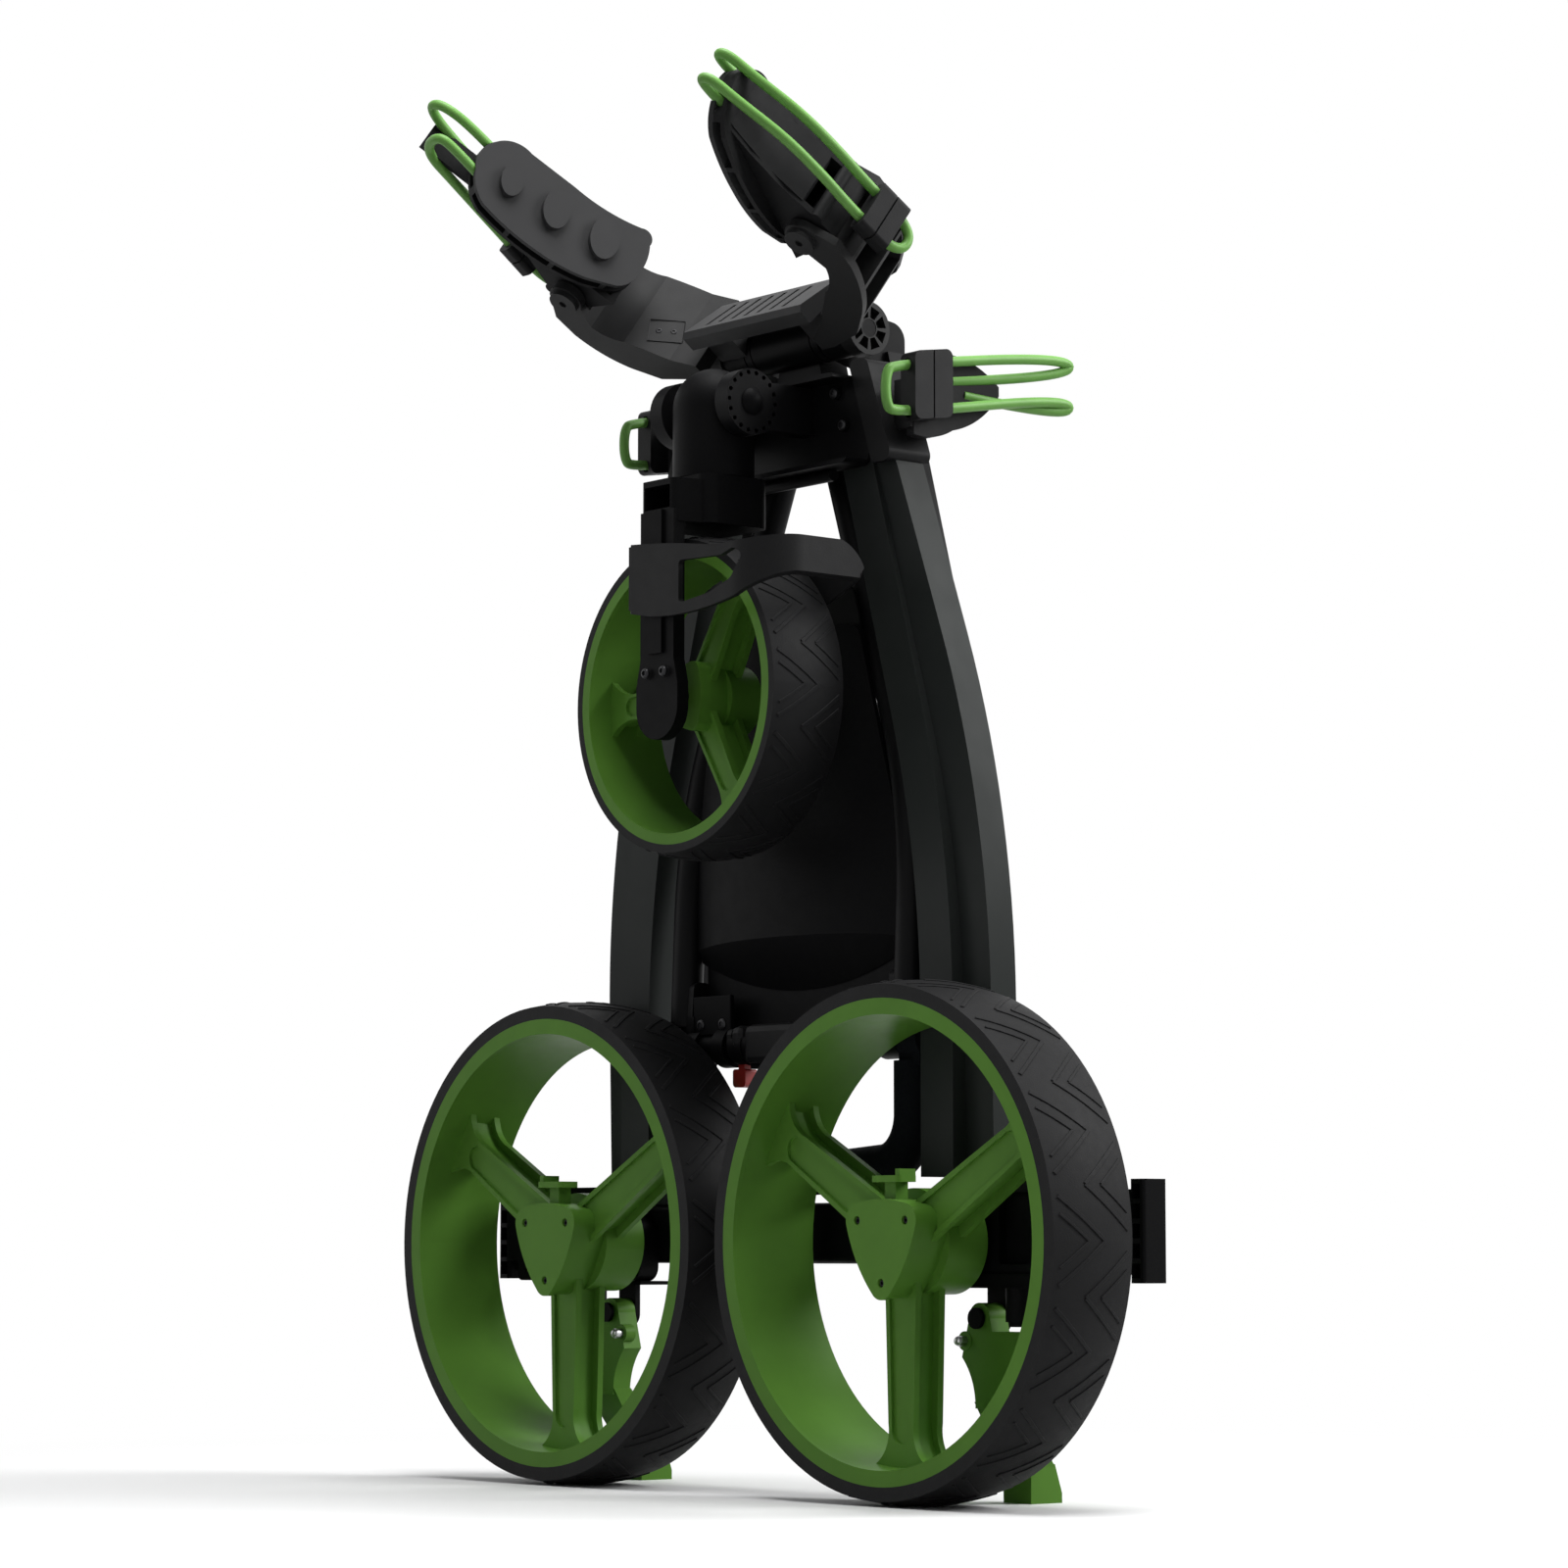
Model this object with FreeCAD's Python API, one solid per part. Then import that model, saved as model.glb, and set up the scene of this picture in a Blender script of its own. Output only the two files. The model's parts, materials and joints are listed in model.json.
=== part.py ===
"""Three-wheel golf push cart, folded and standing upright on its rear wheels and stand levers.

Lengths are in millimetres. X runs across the cart, Y from the wheels' face (front) to the back of the folded
pack, Z upwards. X = 0 is the middle plane. All Y sizes below are counted from the rear wheels' face, and the
finished pieces are moved by PACK_MIDDLE so that the origin is the middle of the footprint on the floor.
Right-hand pieces are modelled and the left-hand ones are their mirror images.
"""
import FreeCAD
import Part
import math
import os

# ---------------------------------------------------------------- driving dimensions
PACK_MIDDLE = 13.4           # from the rear wheels' face to the middle of the folded pack's whole depth
RUNNING_GAP = 0.05           # radial clearance of a pin or shaft in its bore
PIECE_GAP = 0.5              # between faces of neighbouring pieces that do not fit into one another
MOVING_GAP = 1.5             # between pieces that move past one another

# rear wheels
WHEEL_X = 169.6              # wheel centre from the middle plane, folded
TYRE_RADIUS = 160.0
TYRE_SHOULDER_DROP = 3.4     # crown radius less shoulder radius
TYRE_WIDTH = 63.7
RIM_RADIUS = 148.0
RIM_RING = 10.0              # width of the flat ring on the rim's face
RIM_WALL = 6.0
SPOKES = 3
SPOKE_WIDTH = 23.0
SPOKE_DEPTH = 24.0
SPOKE_RIDGE = 0.14           # ridge width along a spoke's edges, as a share of the spoke's width
SPOKE_CHANNEL = 2.0          # depth of the channel between the ridges
HUB_RADIUS = 31.0
AXLE_RADIUS = 8.0

# front wheel
FRONT_TYRE_RADIUS = 104.0
FRONT_WHEEL_Z = 507.6
FRONT_FACE_Y = -24.0         # face of the front wheel's rim
FRONT_WIDTH = 57.0
FRONT_RIM_RADIUS = 95.3
FRONT_RING = 7.0

# curved blades of the lower frame
BLADE_FOOT_Z = 200.0
BLADE_TOP_Z = 712.0
BLADE_BEND = 700.0           # radius of the long bend
BLADE_BEND_Z = 300.0         # where the bend starts
BLADE_INNER_X = 137.0
BLADE_INNER_LEAN = 16.0      # degrees from upright, above the bend
BLADE_OUTER_X = 192.0
BLADE_OUTER_LEAN = 19.5
BLADE_FRONT_Y = 65.0
BLADE_DEPTH = 35.0
BLADE_TOP_DEPTH = 24.0
RIDGE_WIDTH = 30.0           # inner ridge that stands proud of the outer land
RIDGE_STEP_FOOT = 12.0       # height of the ridge at the foot
RIDGE_STEP_TOP = 1.2
BLADE_WALL = 2.6

# plastic collars at the blades' tops
COLLAR_LOW_Z = 655.0
COLLAR_TOP_Z = 724.0
COLLAR_Y = (59.5, 94.5)
COLLAR_TOP_INNER = 75.0
COLLAR_SPLAY = 0.328         # how fast the inner side leans outwards downwards

# axle beam and wheel arms
BEAM_HALF = 278.0
BEAM_FRONT_Y = 83.0
BEAM_BACK_Y = 104.0
BEAM_BOTTOM_Z = 146.0
BEAM_TOP_Z = 185.0
BEAM_WALL = 2.5
ARM_HINGE_OUT = 20.0         # wheel arm's pin beyond the beam's end
ARM_HINGE_X = BEAM_HALF + ARM_HINGE_OUT
ARM_PIN_RADIUS = 6.0
ARM_KNUCKLE_RADIUS = 11.5
ARM_BOX_Z = (134.0, 197.0)
ARM_BOX_INNER_X = 148.0
ARM_WINDOW_X = (206.0, 238.0)
ARM_THICK = 15.5
PLATE = 6.0                  # hinge plates above and below the beam
BRACKET_WEB = 5.0

# stand levers
LEVER_X = 185.0
LEVER_PIVOT_Z = 113.0
LEVER_PIN_RADIUS = 4.0
LEVER_STOP_OUT = 29.0        # rubber stop beyond the lever's pivot
LEVER_SPLIT_Z = 58.0         # the shank takes over from the body here
FOOT_X = (180.0, 205.0)
FOOT_Y = (94.0, 120.0)
FOOT_HEIGHT = 24.0

# upright frame, hinged behind the axle beam
STRUT_OFFSET = 10.0          # strut centre outside the blade's inner edge
STRUT_WIDTH = 26.0
STRUT_DEPTH = 17.0
STRUT_GAP = 4.5              # behind the blades
STRUT_TOP_Z = 738.0
UPRIGHT_PIN_Z = 176.0
UPRIGHT_PIN_RADIUS = 5.0

# barrel and cradle; (x, s, w) is the cradle's frame: s towards the bag's opening, w along the bag
BARREL_Y = 80.0
BARREL_Z = 749.0
BARREL_HALF = 60.0
BARREL_RADIUS = 16.0
KNUCKLE_SPLIT = 30.5         # the handle's sleeve lies inside this, the upright's knuckles outside
BARREL_PIN_RADIUS = 6.0
CRADLE_TILT = 36.87          # the cradle opens forwards and this many degrees upwards
CHEEK_W = (25.0, 31.0)       # each arm's two cheeks, along the bag
BASE_S = (33.0, 41.0)        # cradle base plate
PAD_BOLT = (122.0, 101.0)    # (x, s) of the jaw's pivot
PAD_LEAN = 18.7              # jaw's face from the s direction
PAD_HALF_W = 23.5
PAD_N = (19.5, 32.7)         # jaw's back and face, from the pivot
PAD_SKIN = 3.5
PAD_BOLT_RADIUS = 5.0
JAW_OVALS = ((5.0, 4.0, 1.0), (42.0, -1.0, 0.92), (77.0, -4.0, 0.76))   # t, w and scale
OVAL_HALF = (15.5, 10.5)
OVAL_RISE = 4.0
OVAL_TURN = 20.0
ROLLER_SPOT = (11.0, -11.5)
ROLLER_RADIUS = 4.5
SLIDER_HALF = (18.5, 6.5, 12.0)       # along the bag, through, and along the strap
STRAP_RIGHT = ((82, 22), (113, 38), (118, 28.5), (96, 14), (68, -8), (36, -23), (12, -31), (-30, -50))
STRAP_LEFT_FRONT = ((82, 22), (118, 34), (134, 35), (134, 10), (104, 0), (6, -34))
STRAP_LEFT_REAR = ((82, 22), (118, 34), (146, 33), (148, 18), (104, 0), (6, -34))
STRAP_ROUTES = {"right": (STRAP_RIGHT, STRAP_RIGHT), "left": (STRAP_LEFT_FRONT, STRAP_LEFT_REAR)}   # t and n
SLIDER_T = {"right": -8.0, "left": 40.0}         # where the slider sits on the strap
TONGUE = (90.0, 138.0, 7.0, 11.0, 10.0)          # plate behind the left jaw's tip: t, n and half its width

# handle
TUBE_RADIUS = 10.5
TUBE_WALL = 2.0
TUBE_FOOT_X = 112.5
TUBE_BEND_Z = 440.0
TUBE_BEND_RADIUS = 360.0
TUBE_LEAN = 0.37             # inward slope above the bend
TUBE_FOOT_Y = 77.0
TUBE_BACK_LEAN = 0.04
HANDLE_PIVOT_Y = 79.0
HANDLE_PIVOT_Z = 288.0
HANDLE_PIN_RADIUS = 6.0
GRIP_RADIUS = 13.5
GRIP_LEG_X = 116.0
GRIP_LOW_Z = 202.0           # centre of the grip's lowest point
GRIP_CORNER_RISE = 8.0
GRIP_CORNER = 32.0
KNUCKLE_RADIUS = 13.0
CROSSBAR_RADIUS = 12.5
CONSOLE_LOW_Z = 323.0
CONSOLE_SHOULDER_Z = 398.0             # where the sides start to draw in
CONSOLE_MIDDLE_Z = 440.0
CONSOLE_TOP_Z = 556.0
CONSOLE_HALF = (108.0, 97.0, 71.0)    # half widths low, at the middle and at the top
CONSOLE_FRONT_Y = 63.0
CONSOLE_DEPTH = 21.0
CONSOLE_EDGE_RADIUS = 250.0           # round lower edge
CONSOLE_TURN = 34.0                   # band that turns under, on the face
CONSOLE_BULGE = 330.0                 # radius of the face

# front fork
FORK_Y = 9.0                 # hinge and stem axis
FORK_HINGE_Z = 697.0
DOME_RADIUS = 26.5
STEM_SPLIT_Z = 650.0         # the crown turns below this height
CROWN_LOW_Z = 618.0
FORK_ARM_HALF = 17.0
FORK_ARM_THICK = 9.0
FORK_ARM_Y = -37.5           # front of the fork's arm
FORK_PIN_RADIUS = 6.0
CROWN_HALF = 26.5             # square block under the stem
GUARD_FACE_Y = -44.0          # mudguard: front face of its side plate
GUARD_SIDE_X = 115.0          # outside of the part that runs past the tyre
GUARD_END_Y = 38.0
GUARD_CORNER = 32.0
GUARD_WALL = 3.8
RING_RADIUS = 21.5
RING_TEETH = 18
LUG_X = (27.5, 39.5)
PLATE_Z = (655.0, 715.0)
PLATE_Y = (44.0, 64.5)
PLATE_WALL = 3.0

# elastic straps
STRAP_RADIUS = 3.3
STRAP_GAP = 0.15             # around a strap in a slider's bore
STRAP_PITCH = 11.0           # half the distance between a strap's two runs

# ---------------------------------------------------------------- small helpers
V = FreeCAD.Vector
X_DIR, Y_DIR, Z_DIR = V(1, 0, 0), V(0, 1, 0), V(0, 0, 1)


def box(x, y, z):
    """Block between two limits on each axis."""
    return Part.makeBox(x[1] - x[0], y[1] - y[0], z[1] - z[0], V(x[0], y[0], z[0]))


def rod(radius, start, direction, length):
    return Part.makeCylinder(radius, length, start, direction)


def fuse(first, *others):
    return first.multiFuse(list(others)).removeSplitter()


def cut(base, *tools):
    return base.cut(list(tools))


def rounded(corners, radius):
    """Closed outline with its corners rounded: items are (u, v) or an arc's (u, v, mid u, mid v)."""
    out = []
    count = len(corners)
    for i, corner in enumerate(corners):
        before, after = corners[i - 1], corners[(i + 1) % count]
        r = corner[2] if len(corner) > 2 else radius
        if r <= 0:
            out.append((corner[0], corner[1]))
            continue
        a = V(before[0] - corner[0], before[1] - corner[1], 0)
        b = V(after[0] - corner[0], after[1] - corner[1], 0)
        half = a.getAngle(b) / 2
        reach = r / math.tan(half)
        a.normalize()
        b.normalize()
        middle = a + b
        middle.normalize()
        here = V(corner[0], corner[1], 0)
        centre = here + middle * (r / math.sin(half))
        start, end, mid = here + a * reach, here + b * reach, centre - middle * r
        out.append((start.x, start.y))
        out.append((end.x, end.y, mid.x, mid.y))
    return out


def face(outline, origin, u_dir, v_dir):
    """Planar face from an outline of lines and arcs."""
    def place(u, v):
        return origin + u_dir * u + v_dir * v
    edges = []
    last = place(*outline[-1][:2])
    for item in outline:
        point = place(*item[:2])
        if point.distanceToPoint(last) > 1e-6:
            if len(item) == 4:
                edges.append(Part.Arc(last, place(item[2], item[3]), point).toShape())
            else:
                edges.append(Part.makeLine(last, point))
        last = point
    return Part.Face(Part.Wire(edges))


def slab(outline, origin, u_dir, v_dir, extrusion):
    return face(outline, origin, u_dir, v_dir).extrude(extrusion)


def front_slab(outline, y):
    """Outline in (x, z) extruded from y[0] to y[1]."""
    return slab(outline, V(0, y[0], 0), X_DIR, Z_DIR, V(0, y[1] - y[0], 0))


def side_slab(outline, x):
    """Outline in (y, z) extruded from x[0] to x[1]."""
    return slab(outline, V(x[0], 0, 0), Y_DIR, Z_DIR, V(x[1] - x[0], 0, 0))


def turned(profile, centre, direction):
    """Closed (radius, height) profile turned about an axis through centre."""
    radial = V(1, 0, 0) if abs(direction.x) < 0.5 else V(0, 0, 1)
    return face(profile, centre, radial, direction).revolve(centre, direction, 360)


def route(points, radii):
    """Straight runs joined by tangent arcs, one radius for each inner point."""
    edges = []
    last = points[0]
    for before, here, after, r in zip(points, points[1:], points[2:], radii):
        a, b = before - here, after - here
        half = a.getAngle(b) / 2
        reach = r / math.tan(half)
        a.normalize()
        b.normalize()
        middle = a + b
        middle.normalize()
        start, end = here + a * reach, here + b * reach
        top = here + middle * (r / math.sin(half) - r)
        edges.append(Part.LineSegment(last, start).toShape())
        edges.append(Part.Arc(start, top, end).toShape())
        last = end
    edges.append(Part.LineSegment(last, points[-1]).toShape())
    return Part.Wire(edges)


def pipe(path, radius):
    start = path.Edges[0].Vertexes[0].Point
    tangent = path.Edges[0].tangentAt(path.Edges[0].FirstParameter)
    ring = Part.Wire([Part.makeCircle(radius, start, tangent)])
    return path.makePipeShell([ring], True, False)


def bend_radii(points):
    """Largest arc that fits each point: 0.45 of the shorter run over the tangent of half the turn."""
    radii = []
    for before, here, after in zip(points, points[1:], points[2:]):
        a, b = here - before, after - here
        half_turn = a.getAngle(b) / 2
        radii.append(0.45 * min(a.Length, b.Length) / math.tan(half_turn))
    return radii


def mirrored(shape):
    return shape.mirror(V(0, 0, 0), X_DIR)


def export(node, shape):
    placed = shape.copy()
    placed.translate(V(0, -PACK_MIDDLE, 0))
    placed.exportStep("parts/%s.step" % node)


def export_pair(node, right_shape):
    export(node + "_right", right_shape)
    export(node + "_left", mirrored(right_shape))


def leaning_edge(start_x, lean, start_z):
    """X of an edge that stands upright, bends inwards on BLADE_BEND and then leans by a fixed angle."""
    slope = math.radians(lean)
    bend_top = start_z + BLADE_BEND * math.sin(slope)

    def x_at(z):
        if z <= start_z:
            return start_x
        if z <= bend_top:
            return start_x - BLADE_BEND + math.sqrt(BLADE_BEND ** 2 - (z - start_z) ** 2)
        return start_x - BLADE_BEND * (1 - math.cos(slope)) - math.tan(slope) * (z - bend_top)
    return x_at, bend_top


inner_edge, INNER_BEND_TOP = leaning_edge(BLADE_INNER_X, BLADE_INNER_LEAN, BLADE_BEND_Z)
outer_edge, OUTER_BEND_TOP = leaning_edge(BLADE_OUTER_X, BLADE_OUTER_LEAN, BLADE_BEND_Z + 10)


def band_outline(low_z, high_z, inner, inner_top, outer, outer_top, inset):
    """Outline in (x, z) of a long bent band between an inner and an outer leaning edge."""
    def arc_mid(edge, start, end, shift):
        middle = (start + end) / 2
        return (edge(middle) + shift, middle)
    start_in, start_out = BLADE_BEND_Z, BLADE_BEND_Z + 10
    a, b = inset, -inset
    mid_in = arc_mid(inner, start_in, inner_top, a)
    mid_out = arc_mid(outer, start_out, outer_top, b)
    return [
        (inner(low_z) + a, low_z),
        (outer(low_z) + b, low_z),
        (outer(start_out) + b, start_out),
        (outer(outer_top) + b, outer_top, *mid_out),
        (outer(high_z) + b, high_z),
        (inner(high_z) + a, high_z),
        (inner(inner_top) + a, inner_top),
        (inner(start_in) + a, start_in, *mid_in),
    ]


# ---------------------------------------------------------------- wheels
def wheel_pieces(centre, face_y, tyre_radius, width, rim_radius, ring, hub_radius, spoke_angles, bore,
                 spoke_width):
    """Tyre and rim with a deep barrel, flared I-section spokes and a lobed hub, axis along Y."""
    seat = rim_radius - RIM_WALL
    inner = rim_radius - ring
    back = face_y + width
    lip = 4.0
    shoulder = tyre_radius - TYRE_SHOULDER_DROP
    origin = V(centre.x, 0, centre.z)
    tyre = turned([
        (rim_radius, face_y), (shoulder, face_y),
        (shoulder, back, tyre_radius, (face_y + back) / 2),
        (rim_radius - 2, back), (rim_radius - 2, back - lip), (seat, back - lip),
        (seat, face_y + lip), (rim_radius, face_y + lip)], origin, Y_DIR)
    barrel = turned([
        (rim_radius, face_y), (rim_radius, face_y + lip), (seat, face_y + lip),
        (seat, back - lip), (rim_radius - 2, back - lip), (rim_radius - 2, back - 1),
        (inner - 4, back - 1), (inner, face_y + 3), (inner, face_y)], origin, Y_DIR)

    spoke_front = face_y + 0.3 * width
    flange = 4.5
    flare = spoke_width * 1.15

    def spoke_outline(half, end, flare_half):
        """Half widths along the spoke, ending in a whale-tail flare against the barrel."""
        neck = end - 26
        return [
            (0, -half * 1.3), (neck, -half),
            (end, -flare_half, neck + 17, -half - 3.5),
            (end + 3, 0), (end, flare_half),
            (neck, half, neck + 17, half + 3.5), (0, half * 1.3)]

    solids = []
    end = inner - 1.5
    layers = (
        (spoke_width / 2, flare, spoke_front, flange),
        (spoke_width / 2 - 5, flare - 9, spoke_front + flange, SPOKE_DEPTH - 2 * flange),
        (spoke_width / 2, flare, spoke_front + SPOKE_DEPTH - flange, flange))
    for angle in spoke_angles:
        along = V(math.cos(math.radians(angle)), 0, math.sin(math.radians(angle)))
        across = V(-along.z, 0, along.x)
        for half, flare_half, start_y, depth in layers:
            solids.append(slab(spoke_outline(half, end, flare_half), origin + V(0, start_y, 0),
                               along, across, V(0, depth, 0)))
    # shallow channel down each spoke's front, between two ridges
    ridge = spoke_width * SPOKE_RIDGE
    root, wide, narrow = hub_radius * 0.9, spoke_width * 0.6 - ridge, spoke_width / 2 - ridge
    tip = end - 22
    channels = []
    for angle in spoke_angles:
        along = V(math.cos(math.radians(angle)), 0, math.sin(math.radians(angle)))
        channels.append(slab(
            [(root, -wide), (tip, -narrow), (tip, narrow, tip + narrow, 0), (root, wide)],
            origin + V(0, spoke_front - 1, 0), along, V(-along.z, 0, along.x), V(0, SPOKE_CHANNEL + 1, 0)))
    spokes = cut(fuse(*solids), *channels)
    limit = turned([(0, face_y), (inner + 0.5, face_y), (inner - 3.0, back), (0, back)], origin, Y_DIR)
    spokes = spokes.common(limit)
    hub_front = face_y + 8
    lobes = lobed_outline(hub_radius, spoke_angles, 1.12)
    hub = slab(lobes, origin + V(0, hub_front, 0), X_DIR, Z_DIR, V(0, 22, 0))
    hub_back = rod(hub_radius * 1.05, origin + V(0, hub_front + 22, 0), Y_DIR, back - 2 - hub_front - 22)
    rim = fuse(barrel, spokes, hub, hub_back)
    rim = cut(rim, rod(bore, origin + V(0, hub_front - 1, 0), Y_DIR, width))
    return tyre, rim, hub_front


def lobed_outline(radius, angles, swell):
    """Rounded three-lobed outline whose lobes point along the given angles."""
    lobe = radius * 0.34
    reach = radius * swell - lobe
    outline = []
    order = sorted(a % 360 for a in angles)
    for i, angle in enumerate(order):
        after = order[(i + 1) % len(order)]
        gap = (after - angle) % 360
        a = math.radians(angle)
        centre = (reach * math.cos(a), reach * math.sin(a))
        spread = math.radians(52)
        start = (centre[0] + lobe * math.cos(a - spread), centre[1] + lobe * math.sin(a - spread))
        end = (centre[0] + lobe * math.cos(a + spread), centre[1] + lobe * math.sin(a + spread))
        tip = (centre[0] + lobe * math.cos(a), centre[1] + lobe * math.sin(a))
        if i == 0:
            outline.append(start)
        else:
            side = math.radians(angle - gap / 2)
            outline.append((*start, radius * 0.83 * math.cos(side), radius * 0.83 * math.sin(side)))
        outline.append((*end, *tip))
    side = math.radians(order[0] - ((order[0] - order[-1]) % 360) / 2)
    outline.append((*outline[0], radius * 0.83 * math.cos(side), radius * 0.83 * math.sin(side)))
    return outline


def rear_wheel():
    centre = V(WHEEL_X, 0, TYRE_RADIUS)
    angles = [270 + 360 / SPOKES * i for i in range(SPOKES)]
    tyre, rim, hub_front = wheel_pieces(
        centre, 0.0, TYRE_RADIUS, TYRE_WIDTH, RIM_RADIUS, RIM_RING, HUB_RADIUS, angles,
        AXLE_RADIUS + RUNNING_GAP, SPOKE_WIDTH)
    # pocket on top of the hub for the release tab
    post, travel, clear = 10.0, 4.0, 0.4
    tab_y = (hub_front + 3, hub_front + 13)
    pocket_low = TYRE_RADIUS + AXLE_RADIUS + 5
    pocket = box((WHEEL_X - post / 2 - clear, WHEEL_X + post / 2 + clear),
                 (tab_y[0] - clear, tab_y[1] + clear), (pocket_low, TYRE_RADIUS + 60))
    rim = cut(rim, pocket)
    top = TYRE_RADIUS + HUB_RADIUS + travel + 1
    stem = box((WHEEL_X - post / 2, WHEEL_X + post / 2), tab_y, (pocket_low + travel + 1, top))
    lip = slab(rounded([(-13, -4), (13, -4), (13, 12), (-13, 12)], 3),
               V(WHEEL_X, tab_y[0] - 1, top), X_DIR, Y_DIR, V(0, 0, 4))
    fence = box((WHEEL_X + 8, WHEEL_X + 12), (tab_y[0] - 3, tab_y[1]), (top + 4, top + 8))
    tab = fuse(stem, lip, fence)
    # screwed hub cap
    cap_outline = lobed_outline(HUB_RADIUS, angles, 1.15)
    cap = slab(cap_outline, V(WHEEL_X, hub_front - 5, TYRE_RADIUS), X_DIR, Z_DIR, V(0, 5, 0))
    for angle in angles:
        a = math.radians(angle)
        spot = V(WHEEL_X + HUB_RADIUS * 0.82 * math.cos(a), hub_front - 6,
                 TYRE_RADIUS + HUB_RADIUS * 0.82 * math.sin(a))
        cap = cut(cap, rod(2.8, spot, Y_DIR, 4.5))
    arm_y = BEAM_FRONT_Y - PIECE_GAP - ARM_THICK
    shoulder = rod(AXLE_RADIUS + 4, V(WHEEL_X, TYRE_WIDTH - 1.5, TYRE_RADIUS), Y_DIR,
                   arm_y - TYRE_WIDTH + 1.5)
    axle = fuse(rod(AXLE_RADIUS, V(WHEEL_X, hub_front + 1, TYRE_RADIUS), Y_DIR,
                    arm_y + ARM_THICK - hub_front - 1),
                shoulder)
    return {"rear_tyre": tyre, "rear_rim": rim, "release_tab": tab, "hub_cap": cap, "rear_axle": axle}


def front_wheel():
    centre = V(0, 0, FRONT_WHEEL_Z)
    tyre, rim, hub_front = wheel_pieces(
        centre, FRONT_FACE_Y, FRONT_TYRE_RADIUS, FRONT_WIDTH, FRONT_RIM_RADIUS, FRONT_RING, 22.0,
        [180, 300, 60], AXLE_RADIUS - 2 + RUNNING_GAP, 17.0)
    return {"front_tyre": tyre, "front_rim": rim}


# ---------------------------------------------------------------- lower frame
def blade():
    """Hollow curved blade with a proud inner ridge and a sloping outer land."""
    def solid(inset):
        outline = band_outline(BLADE_FOOT_Z, BLADE_TOP_Z, inner_edge, INNER_BEND_TOP,
                               outer_edge, OUTER_BEND_TOP, inset)
        low = BLADE_FRONT_Y + inset
        body = front_slab(outline, (low, BLADE_FRONT_Y + BLADE_DEPTH - inset))
        # the back face slopes forwards towards the top
        back = side_slab([
            (BLADE_FRONT_Y + BLADE_DEPTH - inset, 0),
            (BLADE_FRONT_Y + BLADE_DEPTH + 60, 0),
            (BLADE_FRONT_Y + BLADE_DEPTH + 60, BLADE_TOP_Z + 60),
            (BLADE_FRONT_Y + BLADE_TOP_DEPTH - inset, BLADE_TOP_Z + 60)], (-10, 400))
        # the outer land lies behind the ridge by a step that grows towards the foot
        land_outline = band_outline(
            BLADE_FOOT_Z - 5, BLADE_TOP_Z + 5,
            lambda z: inner_edge(z) + RIDGE_WIDTH - inset, INNER_BEND_TOP,
            lambda z: outer_edge(z) + 40, OUTER_BEND_TOP, 0)
        land = front_slab(land_outline, (0, BLADE_FRONT_Y + BLADE_DEPTH))
        slope = side_slab([
            (-20, 0),
            (BLADE_FRONT_Y + RIDGE_STEP_FOOT + inset, BLADE_FOOT_Z - 20),
            (BLADE_FRONT_Y + RIDGE_STEP_TOP + inset, BLADE_TOP_Z + 20),
            (-20, BLADE_TOP_Z + 20)], (-10, 400))
        return body.cut(back).cut(land.common(slope))
    tongue = box((BLADE_INNER_X + 3, BLADE_OUTER_X - 3),
                 (BEAM_FRONT_Y + 1, BLADE_FRONT_Y + BLADE_DEPTH - 1), (BEAM_TOP_Z, BLADE_FOOT_Z + 4))
    return fuse(solid(0).cut(solid(BLADE_WALL)), tongue)


def axle_beam():
    y, z = (BEAM_FRONT_Y, BEAM_BACK_Y), (BEAM_BOTTOM_Z, BEAM_TOP_Z)
    outline = rounded([(y[0], z[0]), (y[1], z[0]), (y[1], z[1]), (y[0], z[1])], 4)
    inner = rounded([(y[0] + BEAM_WALL, z[0] + BEAM_WALL), (y[1] - BEAM_WALL, z[0] + BEAM_WALL),
                     (y[1] - BEAM_WALL, z[1] - BEAM_WALL), (y[0] + BEAM_WALL, z[1] - BEAM_WALL)], 2)
    beam = side_slab(outline, (-BEAM_HALF, BEAM_HALF)).cut(side_slab(inner, (-BEAM_HALF, BEAM_HALF)))
    # clevises for the upright frame's pins, behind the beam
    strut_x = BLADE_INNER_X + STRUT_OFFSET
    pin_y = strut_y_middle()
    ears = []
    for side in (1, -1):
        for start in (strut_x - STRUT_WIDTH / 2 - 5.5, strut_x + STRUT_WIDTH / 2 + 0.5):
            ear = side_slab(rounded([(BEAM_BACK_Y, BEAM_BOTTOM_Z + 4, 0), (pin_y + 10, UPRIGHT_PIN_Z - 9, 6),
                                     (pin_y + 10, UPRIGHT_PIN_Z + 9, 6),
                                      (BEAM_BACK_Y, BEAM_TOP_Z - 1, 0)], 5),
                            (start, start + 5))
            ears.append(ear if side > 0 else mirrored(ear))
        low = strut_x - STRUT_WIDTH / 2 - 8
        pin = rod(UPRIGHT_PIN_RADIUS, V(low, pin_y, UPRIGHT_PIN_Z), X_DIR, STRUT_WIDTH + 16)
        head = rod(UPRIGHT_PIN_RADIUS + 3.5, V(low - 2.5, pin_y, UPRIGHT_PIN_Z), X_DIR, 3)
        ears += [pin, head] if side > 0 else [mirrored(pin), mirrored(head)]
    return fuse(beam, *ears)


def strut_y_middle():
    return BLADE_FRONT_Y + BLADE_DEPTH + STRUT_GAP + STRUT_DEPTH / 2


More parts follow.
